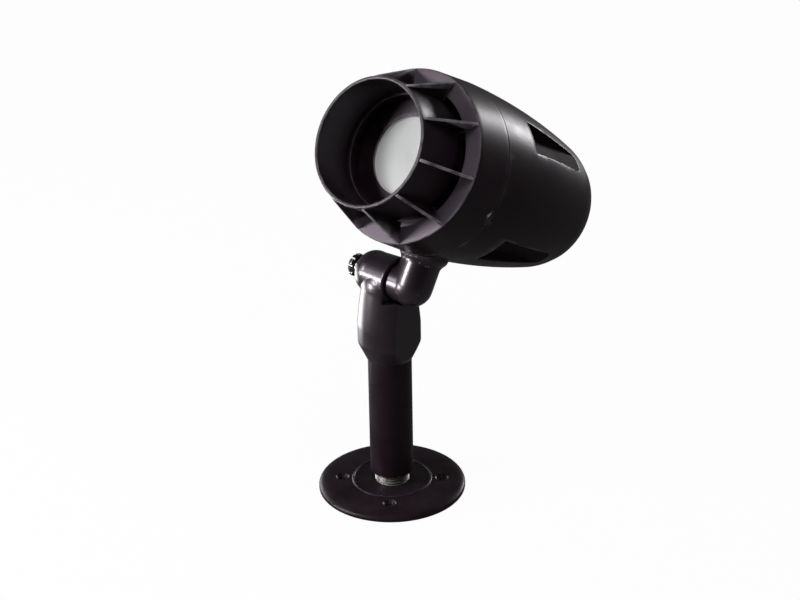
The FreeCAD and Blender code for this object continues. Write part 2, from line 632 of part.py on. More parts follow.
def lamp_glass():
    return turned((0, LAMP_FRONT), (LAMP_R - 0.4, LAMP_FRONT), (LAMP_R, LAMP_FRONT + 0.4),
                  (LAMP_R, REFLECTOR_FRONT), (0, REFLECTOR_FRONT))


def lamp_reflector():
    """Glass shell of the reflector lamp."""
    middle_z = (REFLECTOR_FRONT + REFLECTOR_REAR) / 2
    middle_r = (LAMP_R + LAMP_NECK_R) / 2 + 2.2
    outer = turned((0, REFLECTOR_FRONT), (LAMP_R, REFLECTOR_FRONT), (LAMP_R, REFLECTOR_FRONT + 1.8),
                   ((middle_r, middle_z), (LAMP_NECK_R, REFLECTOR_REAR)), (0, REFLECTOR_REAR))
    inner = turned((0, REFLECTOR_FRONT - 1), (LAMP_R - LAMP_SHELL, REFLECTOR_FRONT - 1),
                   (LAMP_R - LAMP_SHELL, REFLECTOR_FRONT + 1.2),
                   ((middle_r - LAMP_SHELL, middle_z - 0.6), (LAMP_NECK_R - 3.0, REFLECTOR_REAR - 2.0)),
                   (0, REFLECTOR_REAR - 2.0))
    return outer.cut(inner)


def lamp_capsule():
    """Small burner standing in the reflector."""
    rear = REFLECTOR_REAR - 2.0
    tip = rear - CAPSULE_L
    shoulder = (CAPSULE_R, tip + CAPSULE_R + 0.2)
    return turned((0, tip), ((CAPSULE_R * 0.65, tip + CAPSULE_R * 0.35), shoulder), (CAPSULE_R, rear - 3.0),
                  (CAPSULE_R - 0.8, rear), (0, rear))


def lamp_base():
    half_w = LAMP_BASE_W / 2
    half_h = LAMP_BASE_H / 2
    body = block((-half_w, -half_h, REFLECTOR_REAR), (half_w, half_h, LAMP_BASE_REAR))
    upright = [edge for edge in body.Edges if abs(edge.tangentAt(edge.FirstParameter).z) > 0.99]
    return body.makeFillet(2.0, upright)


def lamp_pins():
    pin = rod(PIN_R, LAMP_BASE_REAR, LAMP_BASE_REAR + PIN_LENGTH)
    return around(pin, PIN_SPACING / 2, (0, 180))


def lamp_holder():
    """Ceramic socket with sprung pin holes."""
    body = block((-HOLDER_W / 2, -HOLDER_H / 2, HOLDER_FRONT), (HOLDER_W / 2, HOLDER_H / 2, HOLDER_REAR))
    upright = [edge for edge in body.Edges if abs(edge.tangentAt(edge.FirstParameter).z) > 0.99]
    body = body.makeFillet(2.5, upright)
    pin_holes = around(rod(PIN_R + 0.1, HOLDER_FRONT - 1, LAMP_BASE_REAR + PIN_LENGTH + 1), PIN_SPACING / 2,
                       (0, 180))
    tapped = around(rod(M3_R + SEAT_CLEAR, HOLDER_REAR - 8, HOLDER_REAR + 1), HOLDER_SCREW_X, (0, 180))
    return body.cut(pin_holes).cut(tapped)


def lamp_bracket():
    """Steel strap: a cross plate behind the socket, two legs and two feet on the flange."""
    half_w = BRACKET_W / 2
    plate = block((-BRACKET_HALF, -half_w, HOLDER_REAR), (BRACKET_HALF, half_w, HOLDER_REAR + BRACKET_T))
    strap = [plate]
    for side in (-1, 1):
        leg_x = sorted((side * BRACKET_HALF, side * (BRACKET_HALF - BRACKET_T)))
        foot_x = sorted((side * (BRACKET_HALF - BRACKET_T), side * FOOT_REACH))
        strap.append(block((leg_x[0], -half_w, FOOT_FRONT), (leg_x[1], half_w, HOLDER_REAR)))
        strap.append(block((foot_x[0], -half_w / 2, FOOT_FRONT), (foot_x[1], half_w / 2, SEAM_DEPTH)))
    bracket = fused(*strap)
    cuts = [rod(BRACKET_HOLE_R, HOLDER_REAR - 1, HOLDER_REAR + BRACKET_T + 1),
            around(rod(M3_R + SOCKET_CLEAR, HOLDER_REAR - 1, HOLDER_REAR + BRACKET_T + 1), HOLDER_SCREW_X,
                   (0, 180)),
            around(rod(M3_R + SOCKET_CLEAR, FOOT_FRONT - 1, SEAM_DEPTH + 1), FOOT_SCREW_X, (0, 180)),
            rod(M3_R + SEAT_CLEAR, HOLDER_REAR - 1, HOLDER_REAR + BRACKET_T + 1, BLOCK_X + BLOCK_L / 2)]
    for piece in cuts:
        bracket = bracket.cut(piece)
    return bracket


def lead_depth():
    return HOLDER_REAR + BRACKET_T + BLOCK_H / 2


def terminal_block():
    """Two-way nylon connector, with a port and a clamp hole for each lead."""
    low = HOLDER_REAR + BRACKET_T
    body = block((BLOCK_X, -BLOCK_W / 2, low), (BLOCK_X + BLOCK_L, BLOCK_W / 2, low + BLOCK_H))
    body = body.cut(rod(M3_R + SOCKET_CLEAR, low - 1, low + BLOCK_H + 1, BLOCK_X + BLOCK_L / 2))
    for side in (-1, 1):
        y = side * LEAD_HALF
        body = body.cut(rod_x(LEAD_R + SOCKET_CLEAR, BLOCK_X - 1, BLOCK_X + PORT_DEPTH, y, lead_depth()))
        clamp_hole = rod(M3_R + SEAT_CLEAR, lead_depth() + LEAD_R, low + BLOCK_H + 1, BLOCK_X + CLAMP_INSET, y)
        body = body.cut(clamp_hole)
    return body


def terminal_screws():
    """The block's fixing screw and its two clamp screws."""
    low = HOLDER_REAR + BRACKET_T
    top = low + BLOCK_H
    fixing = placed(socket_screw(M3_R, BLOCK_H + BRACKET_T + 1.5, M3_HEAD_R, M3_HEAD_H),
                    V(BLOCK_X + BLOCK_L / 2, 0, top), V(0, 0, -1))
    clamps = []
    for side in (-1, 1):
        tip = lead_depth() + LEAD_R + SEAT_CLEAR
        y = side * LEAD_HALF
        clamp = rod(M3_R, tip, top - CLAMP_SINK, BLOCK_X + CLAMP_INSET, y)
        slot = block((BLOCK_X, y - SLOT_W / 2, top - CLAMP_SINK - SLOT_DEPTH),
                     (BLOCK_X + 2 * CLAMP_INSET, y + SLOT_W / 2, top))
        clamps.append(clamp.cut(slot))
    return Part.makeCompound([fixing] + clamps)


def lamp_leads():
    """Two short leads from the back of the socket to the terminal block."""
    leads = []
    depth = lead_depth()
    bend = math.radians(45)
    for side in (-1, 1):
        y = side * LEAD_HALF
        start = V(BLOCK_X - 12.0, y, HOLDER_REAR)
        corner = V(start.x, y, depth - LEAD_BEND)
        middle = V(start.x + LEAD_BEND * (1 - math.cos(bend)), y, depth - LEAD_BEND * (1 - math.sin(bend)))
        turn = V(start.x + LEAD_BEND, y, depth)
        end = V(BLOCK_X + PORT_DEPTH - 0.4, y, depth)
        path = Part.Wire([Part.makeLine(start, corner), Part.Arc(corner, middle, turn).toShape(),
                          Part.makeLine(turn, end)])
        section = Part.Wire(Part.makeCircle(LEAD_R, start, Z_AXIS))
        leads.append(path.makePipeShell([section], True, False))
    return Part.makeCompound(leads)


# ---- fasteners and joints of the head ----
def bezel_screws():
    """Long screws from the pockets to the bezel's columns."""
    length = POCKET_FRONT - GROOVE_DEPTH - THREAD_SPARE
    screw = placed(socket_screw(M4_R, length, M4_HEAD_R, M4_HEAD_H), V(0, 0, POCKET_FRONT), V(0, 0, -1))
    return around(screw, SCREW_PITCH_R, POCKET_ANGLES)


def bracket_screws():
    screw = placed(socket_screw(M3_R, BRACKET_SCREW_L, M3_HEAD_R, M3_HEAD_H), V(0, 0, FOOT_FRONT), Z_AXIS)
    return around(screw, FOOT_SCREW_X, (0, 180))


def holder_screws():
    screw = socket_screw(M3_R, HOLDER_SCREW_L, M3_HEAD_R, M3_HEAD_H)
    seat = V(0, 0, HOLDER_REAR + BRACKET_T)
    return around(placed(screw, seat, V(0, 0, -1)), HOLDER_SCREW_X, (0, 180))


def arm_screws():
    length = HOUSING_WALL + PAD_SKIN + ARM_SCREW_GRIP - THREAD_SPARE
    screw = socket_screw(M3_R, length, M3_HEAD_R, M3_HEAD_H)
    places = [placed(screw, V(x, ARM_REACH - PIVOT_TO_PAD, z), Y_AXIS) for x, z in arm_screw_places()]
    return Part.makeCompound(places)


def wire_grommet():
    """Rubber bush where the leads pass from the housing into the arm."""
    low = ARM_REACH - PIVOT_TO_PAD
    bush = turned((GROMMET_BORE_R, low - GROMMET_FLANGE_T), (GROMMET_FLANGE_R, low - GROMMET_FLANGE_T),
                  (GROMMET_FLANGE_R, low), (GROMMET_R - SEAT_CLEAR, low),
                  (GROMMET_R - SEAT_CLEAR, SEAM_R - 0.4), (GROMMET_BORE_R, SEAM_R - 0.4))
    return placed(bush, V(0, 0, ARM_SETBACK), Y_AXIS)


def arm_gasket():
    """Rubber pad between the housing's skin and the arm."""
    pad = rod_y(FLARE_R, 30, SEAM_R + GASKET_T + 2, z=ARM_SETBACK)
    pad = pad.common(housing_form(GASKET_T)).cut(housing_form())
    return pad.cut(arm_holes(ARM_HOLLOW_R, M3_R + SOCKET_CLEAR))


def head_arm():
    """Offset arm: round end at the pivot, boss against the ear, flared foot on the housing."""
    foot = SEAM_R + GASKET_T
    arm = fused(rod_y(ARM_R, 40, ARM_REACH, z=ARM_SETBACK),
                Part.makeSphere(ARM_R, V(0, ARM_REACH, ARM_SETBACK)),
                rod_x(ARM_R - ARM_BOSS_STEP, EAR_FACE_X + BODY_GAP - ARM_X, 0, ARM_REACH, ARM_SETBACK),
                Part.makeCone(FLARE_R, ARM_R, FLARE_H, V(0, foot - 1.0, ARM_SETBACK), Y_AXIS),
                rod_y(FLARE_R, 40, foot - 1.0, z=ARM_SETBACK))
    ear_room = rod_x(EAR_R + EAR_ROOM, -ARM_R - 2, EAR_FACE_X + BODY_GAP - ARM_X, ARM_REACH, ARM_SETBACK)
    hollow = rod_y(ARM_HOLLOW_R, 40, ARM_REACH, z=ARM_SETBACK).fuse(
        Part.makeSphere(ARM_HOLLOW_R, V(0, ARM_REACH, ARM_SETBACK)))
    tapped = rod_x(STUD_R + SEAT_CLEAR, -ARM_R - 2, 0, ARM_REACH, ARM_SETBACK)
    drills = [rod_y(M3_R + SEAT_CLEAR, 40, SEAM_R + ARM_SCREW_GRIP, x, z) for x, z in arm_screw_places()]
    for piece in [housing_form(GASKET_T), ear_room, hollow, tapped] + drills:
        arm = arm.cut(piece)
    return arm


STANDING = {
    "base_flange": base_flange, "base_locknut": base_locknut, "stem_nipple": stem_nipple,
    "stem_tube": stem_tube, "swivel_knuckle": swivel_knuckle, "swivel_set_screw": swivel_set_screw,
    "stem_seal": stem_seal, "pivot_seal": pivot_seal, "pivot_washer": pivot_washer,
    "pivot_stud": pivot_stud, "thumb_nut": thumb_nut,
}
TILTED = {
    "head_arm": head_arm, "arm_gasket": arm_gasket, "arm_screws": arm_screws, "wire_grommet": wire_grommet,
    "rear_housing": rear_housing, "housing_seal": housing_seal, "bezel_screws": bezel_screws,
    "bezel_ring": bezel_ring, "snoot": snoot, "lens_gasket": lens_gasket, "lens": lens,
    "lens_retainer": lens_retainer, "lamp_glass": lamp_glass, "lamp_reflector": lamp_reflector,
    "lamp_capsule": lamp_capsule, "lamp_base": lamp_base, "lamp_pins": lamp_pins,
    "lamp_holder": lamp_holder, "holder_screws": holder_screws, "lamp_bracket": lamp_bracket,
    "bracket_screws": bracket_screws, "terminal_block": terminal_block,
    "terminal_screws": terminal_screws, "lamp_leads": lamp_leads,
}

for name, make in STANDING.items():
    save(name, make())
for name, make in TILTED.items():
    save(name, in_head(make()))
print("pivot", PIVOT, "ring centre", HEAD.Base)
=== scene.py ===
# %% [markdown]
# # Garden spotlight
# A bullet-shaped head with a glare tube stands on an offset arm, a swivelling collar and a
# pipe stem, screwed into a round flange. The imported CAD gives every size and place. This
# lesson rebuilds the visible castings with rounded edges and gives every piece a finish.

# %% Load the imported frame
import bmesh
import bpy
import math
from mathutils import Matrix, Vector


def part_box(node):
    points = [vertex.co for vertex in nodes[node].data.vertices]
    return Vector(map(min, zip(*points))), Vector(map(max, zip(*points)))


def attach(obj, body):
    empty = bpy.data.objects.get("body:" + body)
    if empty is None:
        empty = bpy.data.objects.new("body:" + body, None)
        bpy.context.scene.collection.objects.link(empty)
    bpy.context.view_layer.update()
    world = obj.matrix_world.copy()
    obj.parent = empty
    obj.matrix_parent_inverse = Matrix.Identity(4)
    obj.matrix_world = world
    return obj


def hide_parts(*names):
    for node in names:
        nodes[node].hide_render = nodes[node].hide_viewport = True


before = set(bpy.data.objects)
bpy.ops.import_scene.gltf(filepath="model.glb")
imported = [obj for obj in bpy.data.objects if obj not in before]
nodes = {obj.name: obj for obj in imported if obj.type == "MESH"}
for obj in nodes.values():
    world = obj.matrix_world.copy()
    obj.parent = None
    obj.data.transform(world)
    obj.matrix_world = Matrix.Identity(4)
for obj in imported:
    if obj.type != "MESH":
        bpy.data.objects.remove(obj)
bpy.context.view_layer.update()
MM = 0.001

# %% [markdown]
# ## Camera
# A long lens from the front right, a little above the lamp. The camera's own axes are built
# from an azimuth, an elevation and a small roll, because a matrix made of three unit
# vectors says exactly where it looks, which a tracking constraint would hide.

# %% Camera
AZIMUTH, ELEVATION, ROLL = math.radians(43.13), math.radians(26.59), math.radians(-1.0)
TARGET = Vector((-0.03018, 0.04221, 0.10274))
DISTANCE = 1.5

back = Vector((math.sin(AZIMUTH) * math.cos(ELEVATION), -math.cos(AZIMUTH) * math.cos(ELEVATION),
               math.sin(ELEVATION)))
level = Vector((math.cos(AZIMUTH), math.sin(AZIMUTH), 0))
upright = back.cross(level)
right = level * math.cos(ROLL) + upright * math.sin(ROLL)
up = upright * math.cos(ROLL) - level * math.sin(ROLL)
camera_data = bpy.data.cameras.new("studio_camera")
camera_data.lens = 108.0
camera_data.sensor_width = 36.0
camera_data.clip_end = 50.0
camera = bpy.data.objects.new("studio_camera", camera_data)
bpy.context.scene.collection.objects.link(camera)
axes = Matrix((right, up, back)).transposed().to_4x4()
camera.matrix_world = Matrix.Translation(TARGET + back * DISTANCE) @ axes
bpy.context.scene.camera = camera
bpy.context.scene.view_settings.view_transform = "Standard"
print("camera at", camera.location)

# %% [markdown]
# ## Node helpers
# Shader trees are built in code: `put` adds a node and fills its sockets, where a socket can
# take a number, a colour or another node's output. One helper keeps each material short.


# %% Node helpers
def put(tree, kind, settings=None, **sockets):
    """Add a shader node. A socket's value is a constant or another socket to link from."""
    made = tree.nodes.new(kind)
    for key, value in (settings or {}).items():
        setattr(made, key, value)
    for key, value in sockets.items():
        index = int(key[1:]) if key[0] == "i" and key[1:].isdigit() else key.replace("_", " ")
        socket = made.inputs[index]
        if isinstance(value, bpy.types.NodeSocket):
            tree.links.new(value, socket)
        else:
            socket.default_value = value
    return made


def maths(tree, operation, first, second=0.0, clamp=False):
    return put(tree, "ShaderNodeMath", {"operation": operation, "use_clamp": clamp},
               i0=first, i1=second).outputs[0]


def mixed(tree, mask, under, over):
    """Colour mix: the over colour shows where the mask is 1."""
    made = put(tree, "ShaderNodeMix", {"data_type": "RGBA"}, i0=mask, i6=under, i7=over)
    return made.outputs[2]


def ranged(tree, value, low, high, to_low, to_high):
    return put(tree, "ShaderNodeMapRange", Value=value, From_Min=low, From_Max=high,
               To_Min=to_low, To_Max=to_high).outputs[0]


def effect(name, inputs, outputs):
    """Start a node group and give back its tree, its inputs by name and its output node."""
    tree = bpy.data.node_groups.new(name, "ShaderNodeTree")
    for label, kind, value in inputs:
        socket = tree.interface.new_socket(name=label, in_out="INPUT", socket_type=kind)
        if value is not None:
            socket.default_value = value
    for label, kind in outputs:
        tree.interface.new_socket(name=label, in_out="OUTPUT", socket_type=kind)
    return tree, tree.nodes.new("NodeGroupInput").outputs, tree.nodes.new("NodeGroupOutput")


FLOAT, VECTOR = "NodeSocketFloat", "NodeSocketVector"

# %% [markdown]
# ## Shared effects
# Every real moulding or casting shows the same three things at its own strength: the grain of
# the tool that made it, edges rubbed brighter by hands, and dust lying on what faces up. On the
# bezel and the glare tube the bright edges are also a painted highlight along the rounded rims.
# Each is a node group, so that one change improves all materials. Noise would do for each
# alone, but the wear has to follow the shape, so it reads the mesh's own pointiness.

# %% Grain
grain, given, made = effect("cast_grain",
                            [("Vector", VECTOR, None), ("Scale", FLOAT, 900.0)],
                            [("Tone", FLOAT), ("Gloss", FLOAT), ("Height", FLOAT)])
fine = put(grain, "ShaderNodeTexNoise", Vector=given["Vector"], Scale=given["Scale"], Detail=3.0,
           Roughness=0.6)
broad = put(grain, "ShaderNodeTexNoise", Vector=given["Vector"], Scale=38.0, Detail=4.0, Roughness=0.55)
pits = put(grain, "ShaderNodeTexVoronoi", {"feature": "SMOOTH_F1"}, Vector=given["Vector"],
           Scale=maths(grain, "MULTIPLY", given["Scale"], 0.7))
grain.links.new(ranged(grain, broad.outputs[0], 0.35, 0.68, 0.0, 1.0), made.inputs["Tone"])
grain.links.new(maths(grain, "ADD", maths(grain, "MULTIPLY", broad.outputs[0], 0.65),
                      maths(grain, "MULTIPLY", fine.outputs[0], 0.35)), made.inputs["Gloss"])
grain.links.new(maths(grain, "ADD", maths(grain, "MULTIPLY", fine.outputs[0], 0.6),
                      maths(grain, "MULTIPLY", pits.outputs[0], 0.4)), made.inputs["Height"])
print("grain nodes:", len(grain.nodes))

# %% Edge wear and painted edge highlight
WEAR_STARTS, WEAR_FULL = 0.518, 0.585  # pointiness; a flat face has 0.5
wear_and_sheen_tree, given, made = effect("rubbed_edges_and_sheen", [("Vector", VECTOR, None), ("Amount", FLOAT, 0.5)],
                           [("Mask", FLOAT)])
shape = put(wear_and_sheen_tree, "ShaderNodeNewGeometry")
edge = ranged(wear_and_sheen_tree, shape.outputs["Pointiness"], WEAR_STARTS, WEAR_FULL, 0.0, 1.0)
patchy = put(wear_and_sheen_tree, "ShaderNodeTexNoise", Vector=given["Vector"], Scale=160.0, Detail=5.0, Roughness=0.7)
kept = ranged(wear_and_sheen_tree, patchy.outputs[0], 0.38, 0.62, 0.25, 1.0)
wear_and_sheen_tree.links.new(maths(wear_and_sheen_tree, "MULTIPLY", maths(wear_and_sheen_tree, "MULTIPLY", edge, kept), given["Amount"], True),
               made.inputs["Mask"])

# %% Dust
dust, given, made = effect("settled_dust", [("Vector", VECTOR, None), ("Amount", FLOAT, 0.2)],
                           [("Mask", FLOAT)])
facing = put(dust, "ShaderNodeTexCoord")
height = put(dust, "ShaderNodeSeparateXYZ", Vector=facing.outputs["Normal"]).outputs[2]
lying = ranged(dust, height, 0.25, 1.0, 0.15, 1.0)
clouds = put(dust, "ShaderNodeTexNoise", Vector=given["Vector"], Scale=70.0, Detail=6.0, Roughness=0.68)
specks = put(dust, "ShaderNodeTexNoise", Vector=given["Vector"], Scale=1300.0, Detail=1.0)
film = maths(dust, "MULTIPLY", ranged(dust, clouds.outputs[0], 0.42, 0.72, 0.1, 1.0),
             ranged(dust, specks.outputs[0], 0.3, 0.75, 0.35, 1.0))
dust.links.new(maths(dust, "MULTIPLY", maths(dust, "MULTIPLY", lying, film), given["Amount"], True),
               made.inputs["Mask"])

# %% Turning marks
turning, given, made = effect("turning_marks", [("Vector", VECTOR, None), ("Spacing", FLOAT, 2500.0)],
                              [("Height", FLOAT)])
bands = put(turning, "ShaderNodeTexWave", {"bands_direction": "Z"}, Vector=given["Vector"],
            Scale=given["Spacing"], Distortion=0.6, Detail=2.0)
turning.links.new(bands.outputs[1], made.inputs["Height"])
print("effects:", [group.name for group in bpy.data.node_groups])

# %% [markdown]
# ## Finishes
# One function makes a finish from a few honest numbers: the colour, the second tone that
# broad noise brings in, the colour that shows on worn edges (on the bezel and the glare tube also
# a painted highlight), the gloss, and the depth of the grain. Plastics, paint, rubber and metals
# are all this recipe with different numbers.


# %% Finish function
DUST_COLOUR = (0.17, 0.15, 0.165, 1)
MOULDING_TINT = (1.0, 0.88, 1.0, 1.0)


def finish(name, colour, tone, worn_and_sheen, rough, metal=0.0, grain_scale=900.0, depth=0.00003, wear_and_sheen_amount=0.35,
           dust_amount=0.05, specular=0.5, turned=0.0, coat=0.0):
    """A material for one kind of surface. Colours are linear, the depth is in metres."""
    material = bpy.data.materials.new(name)
    material.use_nodes = True
    tree = material.node_tree
    tree.nodes.clear()
    place = put(tree, "ShaderNodeTexCoord").outputs["Object"]
    texture = put(tree, "ShaderNodeGroup", {"node_tree": grain}, Vector=place, Scale=grain_scale)
    wear_and_sheen_mask = put(tree, "ShaderNodeGroup", {"node_tree": wear_and_sheen_tree}, Vector=place, Amount=wear_and_sheen_amount)
    dusty = put(tree, "ShaderNodeGroup", {"node_tree": dust}, Vector=place, Amount=dust_amount)
    base = mixed(tree, texture.outputs["Tone"], (*colour, 1), (*tone, 1))
    base = mixed(tree, wear_and_sheen_mask.outputs["Mask"], base, (*worn_and_sheen, 1))
    base = mixed(tree, dusty.outputs["Mask"], base, DUST_COLOUR)
    gloss = ranged(tree, texture.outputs["Gloss"], 0.3, 0.7, rough - 0.06, rough + 0.08)
    gloss = maths(tree, "ADD", gloss, maths(tree, "MULTIPLY", dusty.outputs["Mask"], 0.5), True)
    relief = texture.outputs["Height"]
    if turned:
        marks = put(tree, "ShaderNodeGroup", {"node_tree": turning}, Vector=place, Spacing=turned)
        relief = maths(tree, "ADD", relief, marks.outputs["Height"])
    bump = put(tree, "ShaderNodeBump", Height=relief, Strength=0.6, Distance=depth)
    shader = put(tree, "ShaderNodeBsdfPrincipled", Base_Color=base, Roughness=gloss, Metallic=metal,
                 Specular_IOR_Level=specular,
                 Specular_Tint=MOULDING_TINT if metal < 0.5 else (1, 1, 1, 1),
                 Coat_Weight=coat, Coat_Roughness=0.2, Normal=bump.outputs[0])
    put(tree, "ShaderNodeOutputMaterial", Surface=shader.outputs[0])
    return material


# %% [markdown]
# ## The black mouldings
# The lamp's castings and mouldings are near black with a trace of violet. They are not one
# black: the bezel is smoother than the housing, and the collar and arm are glossier still,
# where hands turn them. Their worn edges go to a cool grey. On the bezel and the glare tube
# the edge colour is much paler: wear, and also a painted highlight along the rounded rims. The
# bezel's flat front has a paler copy of its black, which is painted light.

# %% Black finishes
BLACK, BLACK_TONE, BLACK_WORN = (0.0050, 0.0019, 0.0034), (0.0075, 0.0034, 0.0056), (0.10, 0.085, 0.105)
housing_black = finish("housing_black", BLACK, BLACK_TONE, BLACK_WORN, 0.36, wear_and_sheen_amount=0.35, specular=0.18)
# The pale edge colour at full amount is wear and also a painted highlight along the rounded rims.
bezel_black = finish("bezel_black", BLACK, BLACK_TONE, (0.42, 0.39, 0.42), 0.36, grain_scale=1100.0,
                     wear_and_sheen_amount=1.0, dust_amount=0.1, specular=0.24)
# The paler face finish is painted light: a lit copy of the bezel black, used on the ring's flat front.
bezel_painted_lit_face = finish("bezel_painted_lit_face", (0.065, 0.05, 0.066), (0.09, 0.071, 0.09), (0.42, 0.39, 0.42), 0.5,
                    grain_scale=1100.0, wear_and_sheen_amount=1.0, dust_amount=0.15, specular=0.3)
pocket_black = finish("pocket_black", BLACK, BLACK_TONE, BLACK_WORN, 0.7, grain_scale=700.0, depth=0.00006,
                      wear_and_sheen_amount=0.2, specular=0.1)
# The pale edge colour at full amount is wear and also a painted highlight along the tube and fin rims.
snoot_black = finish("snoot_black", (0.0055, 0.0022, 0.004), (0.008, 0.0038, 0.0062), (0.5, 0.47, 0.5), 0.36,
                     grain_scale=1200.0, wear_and_sheen_amount=1.0, dust_amount=0.08, specular=0.3)
collar_black = finish("collar_black", (0.0075, 0.004, 0.0062), (0.011, 0.0065, 0.0095), (0.12, 0.11, 0.125),
                      0.33, grain_scale=750.0, depth=0.00004, wear_and_sheen_amount=0.45, specular=0.5, coat=0.35)
arm_black = finish("arm_black", (0.0075, 0.004, 0.0062), (0.011, 0.0065, 0.0095), (0.12, 0.11, 0.125), 0.3,
                   grain_scale=750.0, wear_and_sheen_amount=0.45, specular=0.5, coat=0.35)
stem_black = finish("stem_black", (0.0055, 0.0022, 0.004), (0.0085, 0.0042, 0.0066), (0.14, 0.13, 0.14), 0.4,
                    grain_scale=600.0, depth=0.00005, wear_and_sheen_amount=0.5, specular=0.18)
base_black = finish("base_black", (0.0048, 0.0019, 0.0034), (0.0078, 0.0036, 0.0058), (0.16, 0.15, 0.16), 0.4,
                    grain_scale=500.0, depth=0.00008, wear_and_sheen_amount=0.5, dust_amount=0.05, specular=0.2)
print("black finishes:", [made.name for made in bpy.data.materials
                          if made.name.endswith(("black", "face"))])

# %% [markdown]
# ## Metals, rubber, nylon and ceramic
# The small pieces inside and between the castings. The zinc-plated steel and the brass get
# turning marks as well as grain, because a lathe leaves a fine spiral that catches light as a streak.

# %% Small finishes
thread_steel = finish("thread_steel", (0.022, 0.02, 0.021), (0.04, 0.036, 0.036), (0.55, 0.53, 0.5), 0.34, 0.75,
                      800.0, wear_and_sheen_amount=1.0, specular=0.5)
zinc_steel = finish("zinc_steel", (0.46, 0.46, 0.45), (0.56, 0.55, 0.5), (0.75, 0.74, 0.72), 0.34, 1.0, 1500.0,
                    0.00001, 0.5, 0.05, turned=900.0)
black_steel = finish("black_steel", (0.03, 0.028, 0.03), (0.05, 0.045, 0.045), (0.4, 0.38, 0.36), 0.34, 0.9,
                     1400.0, 0.00001, 0.8, 0.05)
brass = finish("brass_pins", (0.62, 0.44, 0.16), (0.7, 0.52, 0.24), (0.85, 0.7, 0.4), 0.3, 1.0, 1500.0, 0.00001,
               0.5, 0.03, turned=900.0)
seal_rubber = finish("seal_rubber", (0.012, 0.012, 0.012), (0.02, 0.02, 0.02), (0.05, 0.05, 0.05), 0.72, 0.0,
                     1300.0, 0.00004, 0.3, 0.2, 0.35)
ceramic = finish("socket_ceramic", (0.68, 0.66, 0.6), (0.76, 0.74, 0.69), (0.8, 0.79, 0.76), 0.5, 0.0, 1200.0,
                 0.00003, 0.3, 0.1)
nylon = finish("terminal_nylon", (0.66, 0.66, 0.6), (0.74, 0.73, 0.68), (0.82, 0.82, 0.8), 0.45, 0.0, 1000.0,
               0.00002, 0.3, 0.08)
lead_grey = finish("lead_insulation", (0.3, 0.28, 0.26), (0.38, 0.36, 0.33), (0.45, 0.43, 0.4), 0.55, 0.0,
                  1400.0,
                  0.00002, 0.2, 0.08)
mirror_coat = finish("mirror_coat", (0.82, 0.83, 0.84), (0.88, 0.88, 0.88), (0.9, 0.9, 0.9), 0.12, 1.0, 300.0,
                     0.00004, 0.1, 0.04)

# %% [markdown]
# ## Glass
# The front lens is frosted: real frosting scatters inside the sheet, and a milky base with some
# transmission shows that. Its faint glow of its own is painted light, which keeps the lens bright
# inside the shaded glare tube. The lamp's cover and burner are clear glass with light waves in them.


# %% Glass finishes
def glass(name, colour, rough, through, glow=0.0, painted_shadow_centre=None):
    """Glass with fine ripples. A painted shadow centre darkens the colour round that point, a painted shadow of
    the lamp seen through frosting.
    """
    material = bpy.data.materials.new(name)
    material.use_nodes = True
    tree = material.node_tree
    tree.nodes.clear()
    place = put(tree, "ShaderNodeTexCoord").outputs["Object"]
    texture = put(tree, "ShaderNodeGroup", {"node_tree": grain}, Vector=place, Scale=420.0)
    dusty = put(tree, "ShaderNodeGroup", {"node_tree": dust}, Vector=place, Amount=0.18)
    tint = mixed(tree, texture.outputs["Tone"], (*colour, 1), tuple(0.93 * c for c in colour) + (1,))
    # Painted shadow: the colour darkens round the lens centre, with a noisy edge, for the lamp's shadow.
    if painted_shadow_centre:
        away = put(tree, "ShaderNodeVectorMath", {"operation": "DISTANCE"}, i0=place, i1=painted_shadow_centre)
        swirl = put(tree, "ShaderNodeTexNoise", Vector=place, Scale=110.0, Detail=3.0, Distortion=1.6)
        reach = maths(tree, "ADD", away.outputs["Value"], maths(tree, "MULTIPLY", swirl.outputs[0], 0.004))
        painted_shadow = put(tree, "ShaderNodeMapRange", {"interpolation_type": "SMOOTHSTEP"}, Value=reach,
                   From_Min=0.0035, From_Max=0.0075, To_Min=0.35, To_Max=0.0)
        tint = mixed(tree, painted_shadow.outputs[0], tint, (0.3, 0.31, 0.31, 1))
    tint = mixed(tree, dusty.outputs["Mask"], tint, (0.5, 0.48, 0.44, 1))
    gloss = ranged(tree, texture.outputs["Gloss"], 0.3, 0.7, rough * 0.85, rough * 1.15)
    bump = put(tree, "ShaderNodeBump", Height=texture.outputs["Height"], Strength=0.4, Distance=0.00004)
    # The emission is painted light: a glow that keeps glass bright where little light reaches it.
    shader = put(tree, "ShaderNodeBsdfPrincipled", Base_Color=tint, Roughness=gloss, IOR=1.5,
                 Transmission_Weight=through, Emission_Color=tint, Emission_Strength=glow,
                 Normal=bump.outputs[0])
    put(tree, "ShaderNodeOutputMaterial", Surface=shader.outputs[0])
    return material


lens_low, lens_high = (Vector(corner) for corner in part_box("lens"))
LENS_CENTRE = (lens_low + lens_high) / 2
# The 0.27 glow is painted light; the lens centre passed last places the painted shadow of the lamp.
frosted = glass("frosted_glass", (0.41, 0.415, 0.415), 0.5, 0.12, 0.27, tuple(LENS_CENTRE))
clear = glass("clear_glass", (0.95, 0.96, 0.96), 0.06, 0.95)
print("lens centre", LENS_CENTRE)

# %% [markdown]
# ## Finishes for the CAD nodes
# Small pieces whose shape is already right keep their CAD mesh and only get a finish.

